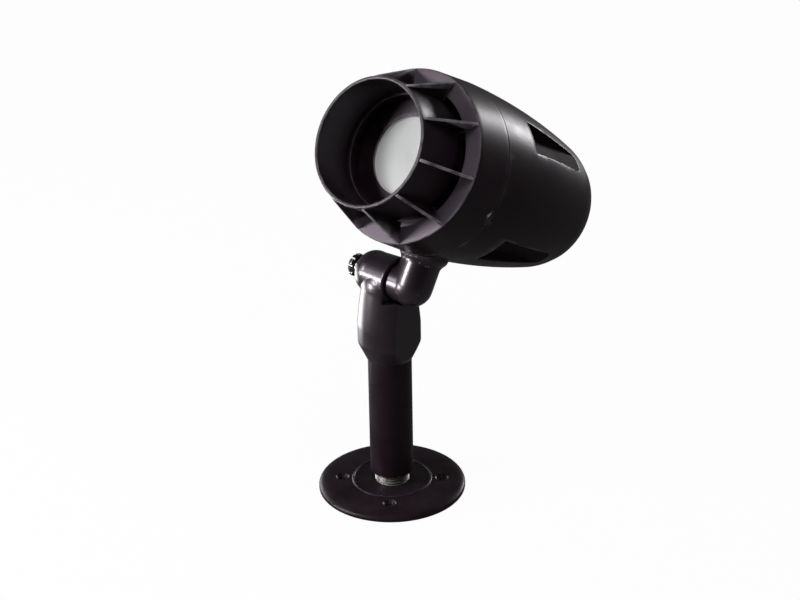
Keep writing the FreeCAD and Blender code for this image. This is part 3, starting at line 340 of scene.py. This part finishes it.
# %% Dress the CAD nodes
DRESS = {
    "base_locknut": zinc_steel, "swivel_set_screw": black_steel, "stem_seal": seal_rubber,
    "pivot_seal": seal_rubber, "pivot_washer": zinc_steel, "pivot_stud": zinc_steel,
    "arm_gasket": seal_rubber, "arm_screws": zinc_steel, "wire_grommet": seal_rubber,
    "housing_seal": seal_rubber, "bezel_screws": black_steel, "lens_gasket": seal_rubber,
    "lens_retainer": black_steel, "lamp_glass": clear, "lamp_reflector": mirror_coat,
    "lamp_capsule": clear, "lamp_base": ceramic, "lamp_pins": brass, "lamp_holder": ceramic,
    "holder_screws": zinc_steel, "lamp_bracket": zinc_steel, "bracket_screws": zinc_steel,
    "terminal_block": nylon, "terminal_screws": brass, "lamp_leads": lead_grey,
    "base_flange": base_black, "stem_nipple": thread_steel, "stem_tube": stem_black,
    "swivel_knuckle": collar_black, "thumb_nut": black_steel, "head_arm": arm_black,
    "rear_housing": housing_black, "bezel_ring": bezel_black, "snoot": snoot_black, "lens": frosted,
}
for label, node in nodes.items():
    node.data.materials.clear()
    node.data.materials.append(DRESS[label])
print("dressed", len(nodes), "nodes")

# %% [markdown]
# ## Modelling helpers
# Most castings here are round, so they start as a section: a wire of radius and height. Its
# corners are bevelled while it is still a wire, which gives every edge a true radius for a
# few vertices, and then the wire is spun. Long runs are divided, so that wear, which reads
# the mesh's pointiness, stays at the edges.


# %% Sections and spinning
def section(points, soft=None, closed=True, run=3.0):
    """Wire of (radius, height) points in millimetres; soft gives corner radii by point number."""
    bm = bmesh.new()
    corners = [bm.verts.new((radius, 0, height)) for radius, height in points]
    following = corners[1:] + (corners[:1] if closed else [])
    for first, second in zip(corners, following):
        bm.edges.new((first, second))
    by_radius = {}
    for number, radius in (soft or {}).items():
        by_radius.setdefault(radius, []).append(corners[number])
    for radius, rounded in by_radius.items():
        bmesh.ops.bevel(bm, geom=rounded, offset=radius, offset_type="OFFSET", affect="VERTICES",
                        segments=4, profile=0.5, material=-1)
    for edge in bm.edges[:]:
        cuts = min(int(edge.calc_length() / run), 40)
        if cuts:
            bmesh.ops.subdivide_edges(bm, edges=[edge], cuts=cuts)
    return bm


def spun(bm, steps=128):
    """Spin a section into a closed, outward-facing solid about Z."""
    bmesh.ops.spin(bm, geom=bm.verts[:] + bm.edges[:], cent=(0, 0, 0), axis=(0, 0, 1), dvec=(0, 0, 0),
                   angle=2 * math.pi, steps=steps, use_merge=True)
    bmesh.ops.remove_doubles(bm, verts=bm.verts, dist=0.0001)
    bmesh.ops.recalc_face_normals(bm, faces=bm.faces)
    return bm


def arc(start, middle, end, steps=16):
    """Points of the circle through three points, from after the start up to and with the end."""
    (ax, ay), (bx, by), (cx, cy) = start, middle, end
    d = 2 * (ax * (by - cy) + bx * (cy - ay) + cx * (ay - by))
    ux = ((ax**2 + ay**2) * (by - cy) + (bx**2 + by**2) * (cy - ay) + (cx**2 + cy**2) * (ay - by)) / d
    uy = ((ax**2 + ay**2) * (cx - bx) + (bx**2 + by**2) * (ax - cx) + (cx**2 + cy**2) * (bx - ax)) / d
    radius = math.hypot(ax - ux, ay - uy)
    first = math.atan2(ay - uy, ax - ux)
    swing = (math.atan2(cy - uy, cx - ux) - first + math.pi) % (2 * math.pi) - math.pi
    return [(ux + radius * math.cos(first + swing * i / steps),
             uy + radius * math.sin(first + swing * i / steps)) for i in range(1, steps + 1)]


def at_angle(radius, degrees):
    """Place (x, y) of one of several things set out on a circle."""
    angle = math.radians(degrees)
    return radius * math.cos(angle), radius * math.sin(angle)


# %% [markdown]
# Cylinders and boxes that only cut or join are made whole by bmesh's own shapes. The cuts
# themselves use the Boolean modifier: it keeps both solids closed, which knife cuts don't.


# %% Cutting and joining
def rod(radius, low, high, x=0.0, y=0.0, steps=48):
    bm = bmesh.new()
    bmesh.ops.create_cone(bm, cap_ends=True, segments=steps, radius1=radius, radius2=radius, depth=high - low,
                          matrix=Matrix.Translation((x, y, (low + high) / 2)))
    return bm


def box(low, high):
    bm = bmesh.new()
    size = [b - a for a, b in zip(low, high)]
    middle = [(a + b) / 2 for a, b in zip(low, high)]
    bmesh.ops.create_cube(bm, size=1.0, matrix=Matrix.Translation(middle) @ Matrix.Diagonal((*size, 1)))
    return bm


def eased(bm, edges, width, segments=2, clamp=True):
    """Round the given edges."""
    bmesh.ops.bevel(bm, geom=edges, offset=width, offset_type="OFFSET", affect="EDGES", segments=segments,
                    profile=0.5, material=-1, clamp_overlap=clamp)


def extruded(bm, corners, way):
    """Fill an outline of vertices and pull the face along a direction into a solid."""
    out = bmesh.ops.extrude_face_region(bm, geom=[bm.faces.new(corners)])
    raised = [item for item in out["geom"] if isinstance(item, bmesh.types.BMVert)]
    bmesh.ops.translate(bm, vec=way, verts=raised)
    bmesh.ops.recalc_face_normals(bm, faces=bm.faces)


def moved(bm, matrix):
    bmesh.ops.transform(bm, matrix=matrix, verts=bm.verts)
    return bm


def gathered(*parts):
    """Join several bmeshes as separate closed shells of one."""
    whole = bmesh.new()
    for part in parts:
        mesh = bpy.data.meshes.new("part")
        part.to_mesh(mesh)
        part.free()
        whole.from_mesh(mesh)
        bpy.data.meshes.remove(mesh)
    return whole


def passing(bm, *modifiers):
    """Send a bmesh through modifiers, each a kind and its settings, and take the result back."""
    mesh = bpy.data.meshes.new("blank")
    bm.to_mesh(mesh)
    bm.free()
    blank = bpy.data.objects.new("blank", mesh)
    bpy.context.scene.collection.objects.link(blank)
    for kind, settings in modifiers:
        modifier = blank.modifiers.new(kind, kind)
        for key, value in settings.items():
            setattr(modifier, key, value)
    bpy.context.view_layer.update()
    result = bmesh.new()
    result.from_object(blank, bpy.context.evaluated_depsgraph_get())
    bpy.data.objects.remove(blank)
    bpy.data.meshes.remove(mesh)
    return result


def combined(bm, tool, operation="DIFFERENCE"):
    mesh = bpy.data.meshes.new("tool")
    tool.to_mesh(mesh)
    tool.free()
    cutter = bpy.data.objects.new("tool", mesh)
    bpy.context.scene.collection.objects.link(cutter)
    result = passing(bm, ("BOOLEAN", {"operation": operation, "object": cutter, "solver": "EXACT"}))
    bpy.data.objects.remove(cutter)
    bpy.data.meshes.remove(mesh)
    return result


def recast(bm, voxel, rounds):
    """Soften a carved solid as a casting is: an even skin, then a few rounds of smoothing."""
    return passing(bm, ("REMESH", {"mode": "VOXEL", "voxel_size": voxel, "use_smooth_shade": True}),
                   ("SMOOTH", {"factor": 0.5, "iterations": rounds}))


def piece(bm, name, body, replaced, material, place, crease=32, second=None):
    """Place a finished bmesh, dress it and let it ride on its body in place of the CAD node."""
    loose = sum(not edge.is_manifold for edge in bm.edges)
    bmesh.ops.transform(bm, matrix=place @ Matrix.Scale(MM, 4), verts=bm.verts)
    mesh = bpy.data.meshes.new(name)
    bm.to_mesh(mesh)
    bm.free()
    mesh.shade_smooth()
    mesh.set_sharp_from_angle(angle=math.radians(crease))
    mesh.materials.append(material)
    if second:
        mesh.materials.append(second)
    made = bpy.data.objects.new(name, mesh)
    bpy.context.scene.collection.objects.link(made)
    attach(made, body)
    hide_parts(replaced)
    mesh.calc_loop_triangles()
    print(name, "triangles:", len(mesh.loop_triangles), "open edges:", loose)
    return made


# %% [markdown]
# ## Frames of the two halves
# The stand is drawn about the vertical axis through the stem. The head is drawn about its own
# axis, with X across, Y towards the arm and Z to the rear, and is then tilted to rest. The
# lens is a disc centred on that axis, so its box gives the place.

# %% Places
REST_AIM = 30.85
LENS_DEPTH = 4.4
STAND = Matrix.Identity(4)
TILT = Matrix.Rotation(math.radians(-(90 + REST_AIM)), 4, "X")
HEAD = Matrix.Translation(LENS_CENTRE - (TILT @ Vector((0, 0, LENS_DEPTH * MM)))) @ TILT
ALONG_X = Matrix.Rotation(math.radians(90), 4, "Y")
ALONG_Y = Matrix.Rotation(math.radians(-90), 4, "X")
PIVOT_Z = 144.0
AT_STAND_PIVOT = Matrix.Translation((0, 0, PIVOT_Z)) @ ALONG_X
COLUMN_ANGLES = (44, 136, 224, 316)
print("ring centre:", HEAD.translation)

# %% [markdown]
# ## Flange base
# A shallow disc with a rounded rim and a raised bead round the hub, cast and then drilled. The
# rim is a quarter of an ellipse; spinning one section gives it, and the drilled holes are
# cut afterwards, each with its countersink, over a boss on the hollow underside.

# %% Flange base
NECK_HOLE_R = 10.67
HOLE_PITCH_R, HOLE_R, HOLE_HEAD_R, SINK = 31.0, 2.3, 4.6, 2.3
RIM = [(35.5 + 10.1 * math.cos(math.radians(a)), 1.6 + 3.6 * math.sin(math.radians(a)))
       for a in range(0, 91, 6)]
base = spun(section([(NECK_HOLE_R, 2.8), (41.0, 2.8), (41.0, 0.0), (45.6, 0.0), *RIM, (25.0, 5.2),
                     (24.6, 5.65), (24.2, 5.8), (23.8, 5.65), (23.4, 5.2), (NECK_HOLE_R, 5.2)],
                    {3: 0.4, -1: 0.25}, run=2.5), 160)
for turn in range(4):
    spot = at_angle(HOLE_PITCH_R, 40 + 90 * turn)
    base = combined(base, rod(6.0, 0.0, 3.2, *spot), "UNION")
    countersink = bmesh.new()
    bmesh.ops.create_cone(countersink, cap_ends=True, segments=40, radius1=HOLE_R, radius2=HOLE_HEAD_R,
                          depth=SINK, matrix=Matrix.Translation((*spot, 5.6 - SINK / 2)))
    base = combined(combined(base, rod(HOLE_R, -1.0, 6.0, *spot)), countersink)
piece(base, "flange_disc", "stand", "base_flange", base_black, STAND)

# %% [markdown]
# ## Threaded nipple
# The pipe thread shows between the base and the stem. On the real part a die cuts one long
# helix. Here a tooth's section is spun about five and a third turns while it climbs, so the
# groove really winds, and its roots sink into the pipe.

# %% Threaded nipple
pipe = spun(section([(7.9, 0.4), (9.75, 0.4), (9.75, 12.0), (10.65, 12.0), (10.65, 26.0), (7.9, 26.0)]), 96)
PITCH, THREAD_TURNS, TURN_STEPS = 1.81, 5.35, 72
tooth = bmesh.new()
points = [tooth.verts.new((radius, 0, height)) for radius, height in
          ((9.5, 0.45), (10.5, 1.0), (10.65, 1.15), (10.65, 1.4), (10.5, 1.55), (9.5, 2.1))]
face = tooth.faces.new(points)
steps = int(THREAD_TURNS * TURN_STEPS)
bmesh.ops.spin(tooth, geom=[face], cent=(0, 0, 0), axis=(0, 0, 1), dvec=(0, 0, PITCH / TURN_STEPS),
               angle=2 * math.pi * THREAD_TURNS, steps=steps)
bmesh.ops.recalc_face_normals(tooth, faces=tooth.faces)
piece(gathered(pipe, tooth), "pipe_thread", "stand", "stem_nipple", thread_steel, STAND)

# %% [markdown]
# ## Stem
# A painted tube with chamfered ends and a groove near its top, where the collar's screw runs.

# %% Stem
TUBE_R, TUBE_FOOT, TUBE_TOP = 13.4, 12.0, 117.7
GROOVE_R, GROOVE_LOW, GROOVE_HIGH = 12.6, 105.1, 110.9
stem = spun(section([(NECK_HOLE_R, TUBE_FOOT), (TUBE_R, TUBE_FOOT), (TUBE_R, GROOVE_LOW),
                     (GROOVE_R, GROOVE_LOW), (GROOVE_R, GROOVE_HIGH), (TUBE_R, GROOVE_HIGH),
                     (TUBE_R, TUBE_TOP), (NECK_HOLE_R, TUBE_TOP)], {1: 0.8, 6: 0.4}), 112)
piece(stem, "stem_pipe", "stand", "stem_tube", stem_black, STAND)

# %% [markdown]
# ## Swivel collar
# One casting: a barrel on the stem, a neck, and an ear across it that holds the pivot. Its
# parts run into each other softly, because a mould can't fill sharp inner corners. Round
# solids are joined and cut as a machinist would, and a fine recast then softens the joints.

# %% Swivel collar
column = spun(section([(0, 90.5), (13.95, 90.5), (18.55, 100.4),
                       *arc((18.55, 100.4), (19.05, 101.6), (19.2, 103.3), 4),
                       (19.2, 114.5), *arc((19.2, 114.5), (18.2, 125.25), (16.4, 138.0), 8),
                       *arc((16.4, 138.0), (13.4, 147.5), (7.4, 152.5), 8), (0, 152.5)], closed=False))
ear = spun(section([(0, -19.5), (8.6, -19.5), *arc((8.6, -19.5), (12.2, -15.5), (13.3, -9.0), 8), (14.2, 7.2),
                    (13.4, 8.0), (0, 8.0)], closed=False))
collar = combined(column, moved(ear, AT_STAND_PIVOT), "UNION")
collar = combined(collar, box((8.0, -21.0, 133.65), (21.0, 21.0, 160.0)))
# The round trough for the arm's ball starts just past the flat, so no two cuts share a plane.
collar = combined(collar, moved(rod(13.0, 8.02, 22.0, steps=90), AT_STAND_PIVOT))
collar = combined(collar, box((15.2, -21.0, 80.0), (21.0, 21.0, 135.0)))
collar = combined(collar, rod(13.45, 80.0, 118.0, steps=96))
collar = combined(collar, rod(7.0, 117.0, 141.0))
collar = combined(collar, moved(rod(4.05, -21.0, 9.0), AT_STAND_PIVOT))
collar = combined(collar, moved(rod(2.52, 12.0, 21.0), Matrix.Translation((0, 0, 108.0)) @ ALONG_Y))
piece(recast(collar, 0.5, 5), "swivel_collar", "knuckle", "swivel_knuckle", collar_black,
      STAND, 60)

# %% [markdown]
# ## Thumb nut
# The knurled cap that clamps the tilt: a turned cap with ten finger notches cut round it.

# %% Thumb nut
cap = spun(section([(0, 0), (5.8, 0), (5.4, 2.6), (7.2, 3.4), (7.2, 6.2), (0, 6.2)], {3: 0.3, 4: 0.9},
                   closed=False, run=1.5), 80)
for turn in range(10):
    cap = combined(cap, rod(1.3, 2.6, 8.0, *at_angle(7.7, 36 * turn), 20))
cap = combined(cap, rod(4.05, -1.0, 5.0))
piece(cap, "clamp_nut", "nut", "thumb_nut", black_steel,
      Matrix.Translation((-0.02085, 0, PIVOT_Z * MM)) @ Matrix.Rotation(math.radians(-90), 4, "Y"))

# %% [markdown]
# ## Rear housing
# A long shell that narrows to a rounded tail, with four wedge-shaped pockets for the screws
# that hold the bezel. One function gives its section, because the inside is the same curve
# a wall's thickness smaller, and the arm's foot is cut to it too.


# %% Housing section
SEAM_R, SEAM_DEPTH = 52.9, 28.0
MID_R, MID_DEPTH = 49.4, 82.0
TAIL_R, TAIL_DEPTH = 40.8, 134.0
POCKET_FLOOR_R, POCKET_FRONT, POCKET_REAR = 43.4, 59.5, 124.0


def housing_section(grow=0.0, front=SEAM_DEPTH, soft=True):
    """Half outline of the housing; grow moves it outwards, or inwards when negative."""
    tail = arc((SEAM_R + grow, SEAM_DEPTH), (MID_R + grow, MID_DEPTH), (TAIL_R + grow, TAIL_DEPTH), 30)
    start = [(0, front), (SEAM_R + grow, front)]
    tail = [point for point in tail if point[1] > front + 0.5]
    end = [(36.4 + grow, 144.2 + grow * 0.8), (25.8, 146.8 + grow), (0, 147.8 + grow)]
    corner = len(start) + len(tail)
    rounding = {corner - 1: 3.0, corner: 2.6, corner + 1: 3.0} if soft else {}
    return section(start + tail + end, rounding, closed=False, run=4.0)


def pocket(margin, soft=0.0):
    """Wedge that cuts one pocket, in millimetres along +X; the margin grows it into its wall."""
    bm = bmesh.new()
    floor_r, front, rear = POCKET_FLOOR_R - margin, POCKET_FRONT - margin, POCKET_REAR + margin
    wide, narrow = 11.0 + margin, 5.3 + margin
    outline = ((-wide, front), (wide, front), (narrow, rear), (-narrow, rear))
    extruded(bm, [bm.verts.new((floor_r, y, z)) for y, z in outline], (16, 0, 0))
    if soft:
        eased(bm, bm.edges[:], soft, 3, False)
    return bm


# %% Rear housing
shell = spun(housing_section(), 144)
cavity = spun(housing_section(-3.0, 31.0, False), 96)
for angle in COLUMN_ANGLES:
    turned = Matrix.Rotation(math.radians(angle), 4, "Z")
    shell = combined(shell, moved(pocket(0.0, 1.1), turned))
    cavity = combined(cavity, moved(pocket(2.5), turned))
bmesh.ops.remove_doubles(shell, verts=shell.verts, dist=0.25)
mouths = [edge for edge in shell.edges if edge.is_manifold and edge.calc_face_angle(0) > math.radians(38)
          and 56 < edge.verts[0].co.z < 128 and math.hypot(*edge.verts[0].co.xy) > 45.2]
eased(shell, mouths, 0.35)
shell = combined(shell, cavity)
shell = combined(shell, rod(36.0, 20.0, 32.0, steps=96))
shell = combined(shell, spun(section([(52.1, 27.0), (54.0, 27.0), (54.0, 28.35), (52.1, 28.35)])))
# Faces well inside the outer skin are pocket walls, which keep a rough cast finish.
TAPER, BEND, INSIDE = 0.0648, 0.00095, 0.7
for face in shell.faces:
    middle = face.calc_center_median()
    depth = middle.z - SEAM_DEPTH
    outside = SEAM_R - TAPER * depth - BEND * depth * (middle.z - MID_DEPTH)
    face.material_index = int(30 < middle.z < 132 and math.hypot(*middle.xy) < outside - INSIDE)
piece(shell, "housing_shell", "head", "rear_housing", housing_black, HEAD, 30, pocket_black)

# %% [markdown]
# ## Bezel
# The front ring is hollow: two walls with screw columns between them, an open channel where
# rain runs off, and a hub that carries the glare tube in front of the lens. All of it is one
# closed section, so one spin makes it, and four columns are added between the walls.

# %% Bezel
RING_INNER_R, RING_R, HUB_R, SCREW_PITCH_R = 41.5, 52.0, 34.15, 46.8
RING = [(23.5, 0.0), (HUB_R, 0.0), (HUB_R, -8.7), (36.25, -8.7), (36.25, 8.0), (RING_INNER_R, 8.0),
        (RING_INNER_R, 0.0), (RING_R, 0.0), (SEAM_R, 27.95), (49.5, 27.95), (49.0, 3.0), (44.5, 3.0),
        (44.5, SEAM_DEPTH), (RING_INNER_R, SEAM_DEPTH), (RING_INNER_R, 11.0), (HUB_R, 11.0), (HUB_R, 2.3),
        (30.5, 2.3), (30.5, 9.7), (28.2, 9.7), (28.2, 2.3), (24.4, 2.3)]
bezel = spun(section(RING, {0: 0.3, 2: 0.4, 3: 0.4, 6: 0.45, 7: 0.8, 8: 0.35}), 144)
columns = [rod(4.3, 1.5, SEAM_DEPTH, *at_angle(SCREW_PITCH_R, angle), 32) for angle in COLUMN_ANGLES]
casting = gathered(bezel, *columns)
casting.normal_update()
# The flat front of the outer ring gets the paler copy of the bezel finish: painted light, standing in for the
# light that reaches this face.
for face in casting.faces:
    face.material_index = int(face.normal.z < -0.9 and math.hypot(*face.calc_center_median().xy) > 41)
piece(casting, "bezel_casting", "head", "bezel_ring", bezel_black, HEAD, 32, bezel_painted_lit_face)

# %% [markdown]
# ## Glare tube and fins
# The tube shades the lens from the side. Ten triangular fins carry it from the ring, and
# leave gaps for leaves and water. One fin is extruded from its outline, its edges are
# rounded, and a spin that duplicates sets out the rest.

# %% Glare tube
TUBE_BORE, SNOOT_R, MOUTH, SNOOT_FOOT = 36.4, 38.5, -36.9, -3.7
FIN_COUNT, FIN_T = 10, 1.8
tube = spun(section([(TUBE_BORE, MOUTH), (SNOOT_R, MOUTH), (SNOOT_R, SNOOT_FOOT), (TUBE_BORE, SNOOT_FOOT)],
                    {0: 0.8, 1: 0.8, 2: 0.3, 3: 0.3}), 144)
fin = bmesh.new()
FIN = ((37.45, -35.3), (39.0, -35.8), (51.65, -0.9), (51.4, 0.0), (38.9, 0.0), (38.9, -3.9), (37.45, -3.9))
extruded(fin, [fin.verts.new((radius, -FIN_T / 2, depth)) for radius, depth in FIN], (0, FIN_T, 0))
eased(fin, fin.edges[:], 0.35)
long_edges = [edge for edge in fin.edges if edge.calc_length() > 8]
bmesh.ops.subdivide_edges(fin, edges=long_edges, cuts=8)
bmesh.ops.spin(fin, geom=fin.verts[:] + fin.edges[:] + fin.faces[:], cent=(0, 0, 0), axis=(0, 0, 1),
               dvec=(0, 0, 0), angle=2 * math.pi * (FIN_COUNT - 1) / FIN_COUNT, steps=FIN_COUNT - 1,
               use_duplicate=True)
bmesh.ops.recalc_face_normals(fin, faces=fin.faces)
snoot = combined(tube, fin, "UNION")
piece(snoot, "glare_tube", "head", "snoot", snoot_black, HEAD)

# %% [markdown]
# ## Lens
# A frosted glass disc behind the plate. Fine rings are pressed into its back, as on a real
# spread lens, and show through the frosting as a faint swirl.

# %% Lens
WAVES = [(26.0 - i * 0.8, 5.65 + 0.2 * (i % 2)) for i in range(33)]
disc = spun(section([(0, 2.75), (23.0, 2.95), (27.0, 2.95), (27.0, 5.9),
                     *[point for point in WAVES if point[0] > 0], (0, 5.75)],
                    {2: 0.4, 3: 0.4}, closed=False), 96)
piece(disc, "frosted_lens", "head", "lens", frosted, HEAD)

# %% [markdown]
# ## Arm
# A hollow arm with a ball end at the pivot and a flared foot on the housing. It is turned,
# given a boss towards the ear, and its foot is cut to the housing's own curve, a gasket's
# thickness away. Recasting softens the boss into the ball.

# %% Arm
ARM_REACH, ARM_SETBACK, ARM_R, ARM_FOOT_R = 71.4, 46.9, 12.25, 15.2
arm = spun(section([(0, 44.0), (ARM_FOOT_R, 44.0), (ARM_FOOT_R, 52.6), (ARM_R, 56.2), (ARM_R, ARM_REACH),
                    *arc((ARM_R, ARM_REACH), (8.662, ARM_REACH + 8.662), (0.0, ARM_REACH + ARM_R), 14)],
                   {2: 1.6, 3: 1.6}, closed=False))
arm = moved(arm, Matrix.Translation((0, 0, ARM_SETBACK)) @ ALONG_Y)
at_pivot = Matrix.Translation((0, ARM_REACH, ARM_SETBACK)) @ ALONG_X
arm = combined(arm, moved(rod(11.8, -11.4, 0.0, steps=96), at_pivot), "UNION")
arm = combined(arm, moved(rod(18.0, -16.0, -11.4, steps=96), at_pivot))
arm = combined(arm, moved(rod(6.0, 40.0, ARM_REACH), Matrix.Translation((0, 0, ARM_SETBACK)) @ ALONG_Y))
arm = combined(arm, moved(rod(4.02, -16.0, 0.0), at_pivot))
arm = combined(arm, spun(housing_section(1.0), 144))
piece(recast(arm, 0.45, 4), "offset_arm", "head", "head_arm", arm_black, HEAD, 60)

# %% [markdown]
# ## Studio
# A plain pale floor and soft light. The floor glows white for camera and glass rays, so it is
# white in the picture without throwing more light on the lamp. Mirror rays see it dim, which
# keeps the black mouldings deep; matt surfaces see a plain grey floor.


# %% Floor
MIRROR_LOSS = 0.88  # what a mirror ray loses of the glow


def white_for_viewers(tree, shader, share):
    """Mix a plain shader with a glow: white for camera and glass rays, dim for mirror rays."""
    path = put(tree, "ShaderNodeLightPath")
    seen = maths(tree, "ADD", maths(tree, "MULTIPLY", path.outputs["Is Camera Ray"], share),
                 maths(tree, "MULTIPLY", path.outputs["Is Transmission Ray"], share))
    glossy = path.outputs["Is Glossy Ray"]
    seen = maths(tree, "MAXIMUM", seen, glossy, True)
    dim = maths(tree, "SUBTRACT", 1.0, maths(tree, "MULTIPLY", glossy, MIRROR_LOSS))
    glow = put(tree, "ShaderNodeEmission", Color=(1, 1, 1, 1), Strength=dim)
    return put(tree, "ShaderNodeMixShader", i0=seen, i1=shader, i2=glow.outputs[0]).outputs[0]


floor_white = bpy.data.materials.new("floor_white")
floor_white.use_nodes = True
floor_tree = floor_white.node_tree
floor_tree.nodes.clear()
plain = put(floor_tree, "ShaderNodeBsdfPrincipled", Base_Color=(0.6, 0.6, 0.6, 1), Roughness=0.9,
            Specular_IOR_Level=0.0)
put(floor_tree, "ShaderNodeOutputMaterial", Surface=white_for_viewers(floor_tree, plain.outputs[0], 0.96))
sheet = bmesh.new()
bmesh.ops.create_grid(sheet, x_segments=1, y_segments=1, size=8.0)
floor_mesh = bpy.data.meshes.new("studio_floor")
sheet.to_mesh(floor_mesh)
sheet.free()
floor_mesh.materials.append(floor_white)
floor = bpy.data.objects.new("studio_floor", floor_mesh)
bpy.context.scene.collection.objects.link(floor)

# %% [markdown]
# The lamp is black, so it is drawn almost only by what it mirrors. For mirror rays the world is
# a little brighter at the back and nearly dark on the camera's side; matt surfaces see an even
# fill, and the camera sees white.

# %% World
world = bpy.data.worlds.new("studio_world")
bpy.context.scene.world = world
world.use_nodes = True
sky = world.node_tree
sky.nodes.clear()
path = put(sky, "ShaderNodeLightPath")
direction = put(sky, "ShaderNodeTexCoord").outputs["Generated"]
PAPER = (-math.sin(math.radians(15)), math.cos(math.radians(15)), 0.25)
towards = put(sky, "ShaderNodeVectorMath", {"operation": "DOT_PRODUCT"}, i0=direction, i1=PAPER)
paper = put(sky, "ShaderNodeMapRange", {"interpolation_type": "SMOOTHSTEP"}, Value=towards.outputs["Value"],
            From_Min=0.1, From_Max=0.95, To_Min=0.02, To_Max=0.09)
viewer = maths(sky, "MAXIMUM", path.outputs["Is Camera Ray"], path.outputs["Is Transmission Ray"])
mirror = put(sky, "ShaderNodeMix", {"data_type": "FLOAT"}, i0=path.outputs["Is Glossy Ray"], i2=0.3,
             i3=paper.outputs[0]).outputs[0]
strength = put(sky, "ShaderNodeMix", {"data_type": "FLOAT"}, i0=viewer, i2=mirror, i3=1.0).outputs[0]
background = put(sky, "ShaderNodeBackground", Color=(1, 1, 1, 1), Strength=strength)
put(sky, "ShaderNodeOutputWorld", Surface=background.outputs[0])
print("world nodes:", len(sky.nodes))

# %% [markdown]
# Large area lamps give the black castings their long soft highlights. The top box is left out
# of reflections, and the card at the left lights reflections only, so that it draws the
# collar's edge without a patch on the floor.


# %% Soft boxes
def soft_box(name, azimuth, elevation, distance, width, height, power, mirrored=True, scattered=True):
    """Soft box at a bearing from the middle of the lamp, aimed at it.

    It can be left out of reflections (mirrored) or out of matt light (scattered).
    """
    a, e = math.radians(azimuth), math.radians(elevation)
    away = Vector((math.sin(a) * math.cos(e), -math.cos(a) * math.cos(e), math.sin(e)))
    data = bpy.data.lights.new(name, "AREA")
    data.shape = "RECTANGLE"
    data.size, data.size_y = width, height
    data.energy = power
    lamp = bpy.data.objects.new(name, data)
    lamp.location = Vector((0, 0, 0.15)) + away * distance
    lamp.rotation_euler = away.to_track_quat("Z", "Y").to_euler()
    lamp.visible_camera = False
    lamp.visible_glossy, lamp.visible_diffuse = mirrored, scattered
    bpy.context.scene.collection.objects.link(lamp)


soft_box("key_box", -28, 24, 1.5, 0.36, 0.24, 19)
soft_box("low_box", -40, 1, 1.5, 0.42, 0.22, 19)
soft_box("top_box", 40, 70, 1.6, 0.8, 0.8, 14, mirrored=False)
soft_box("rear_box", 180, 6, 1.7, 0.3, 0.26, 9)
soft_box("left_card", -84, -32, 0.28, 0.16, 0.24, 1.0, scattered=False)
print("lights:", [light.name for light in bpy.data.lights])
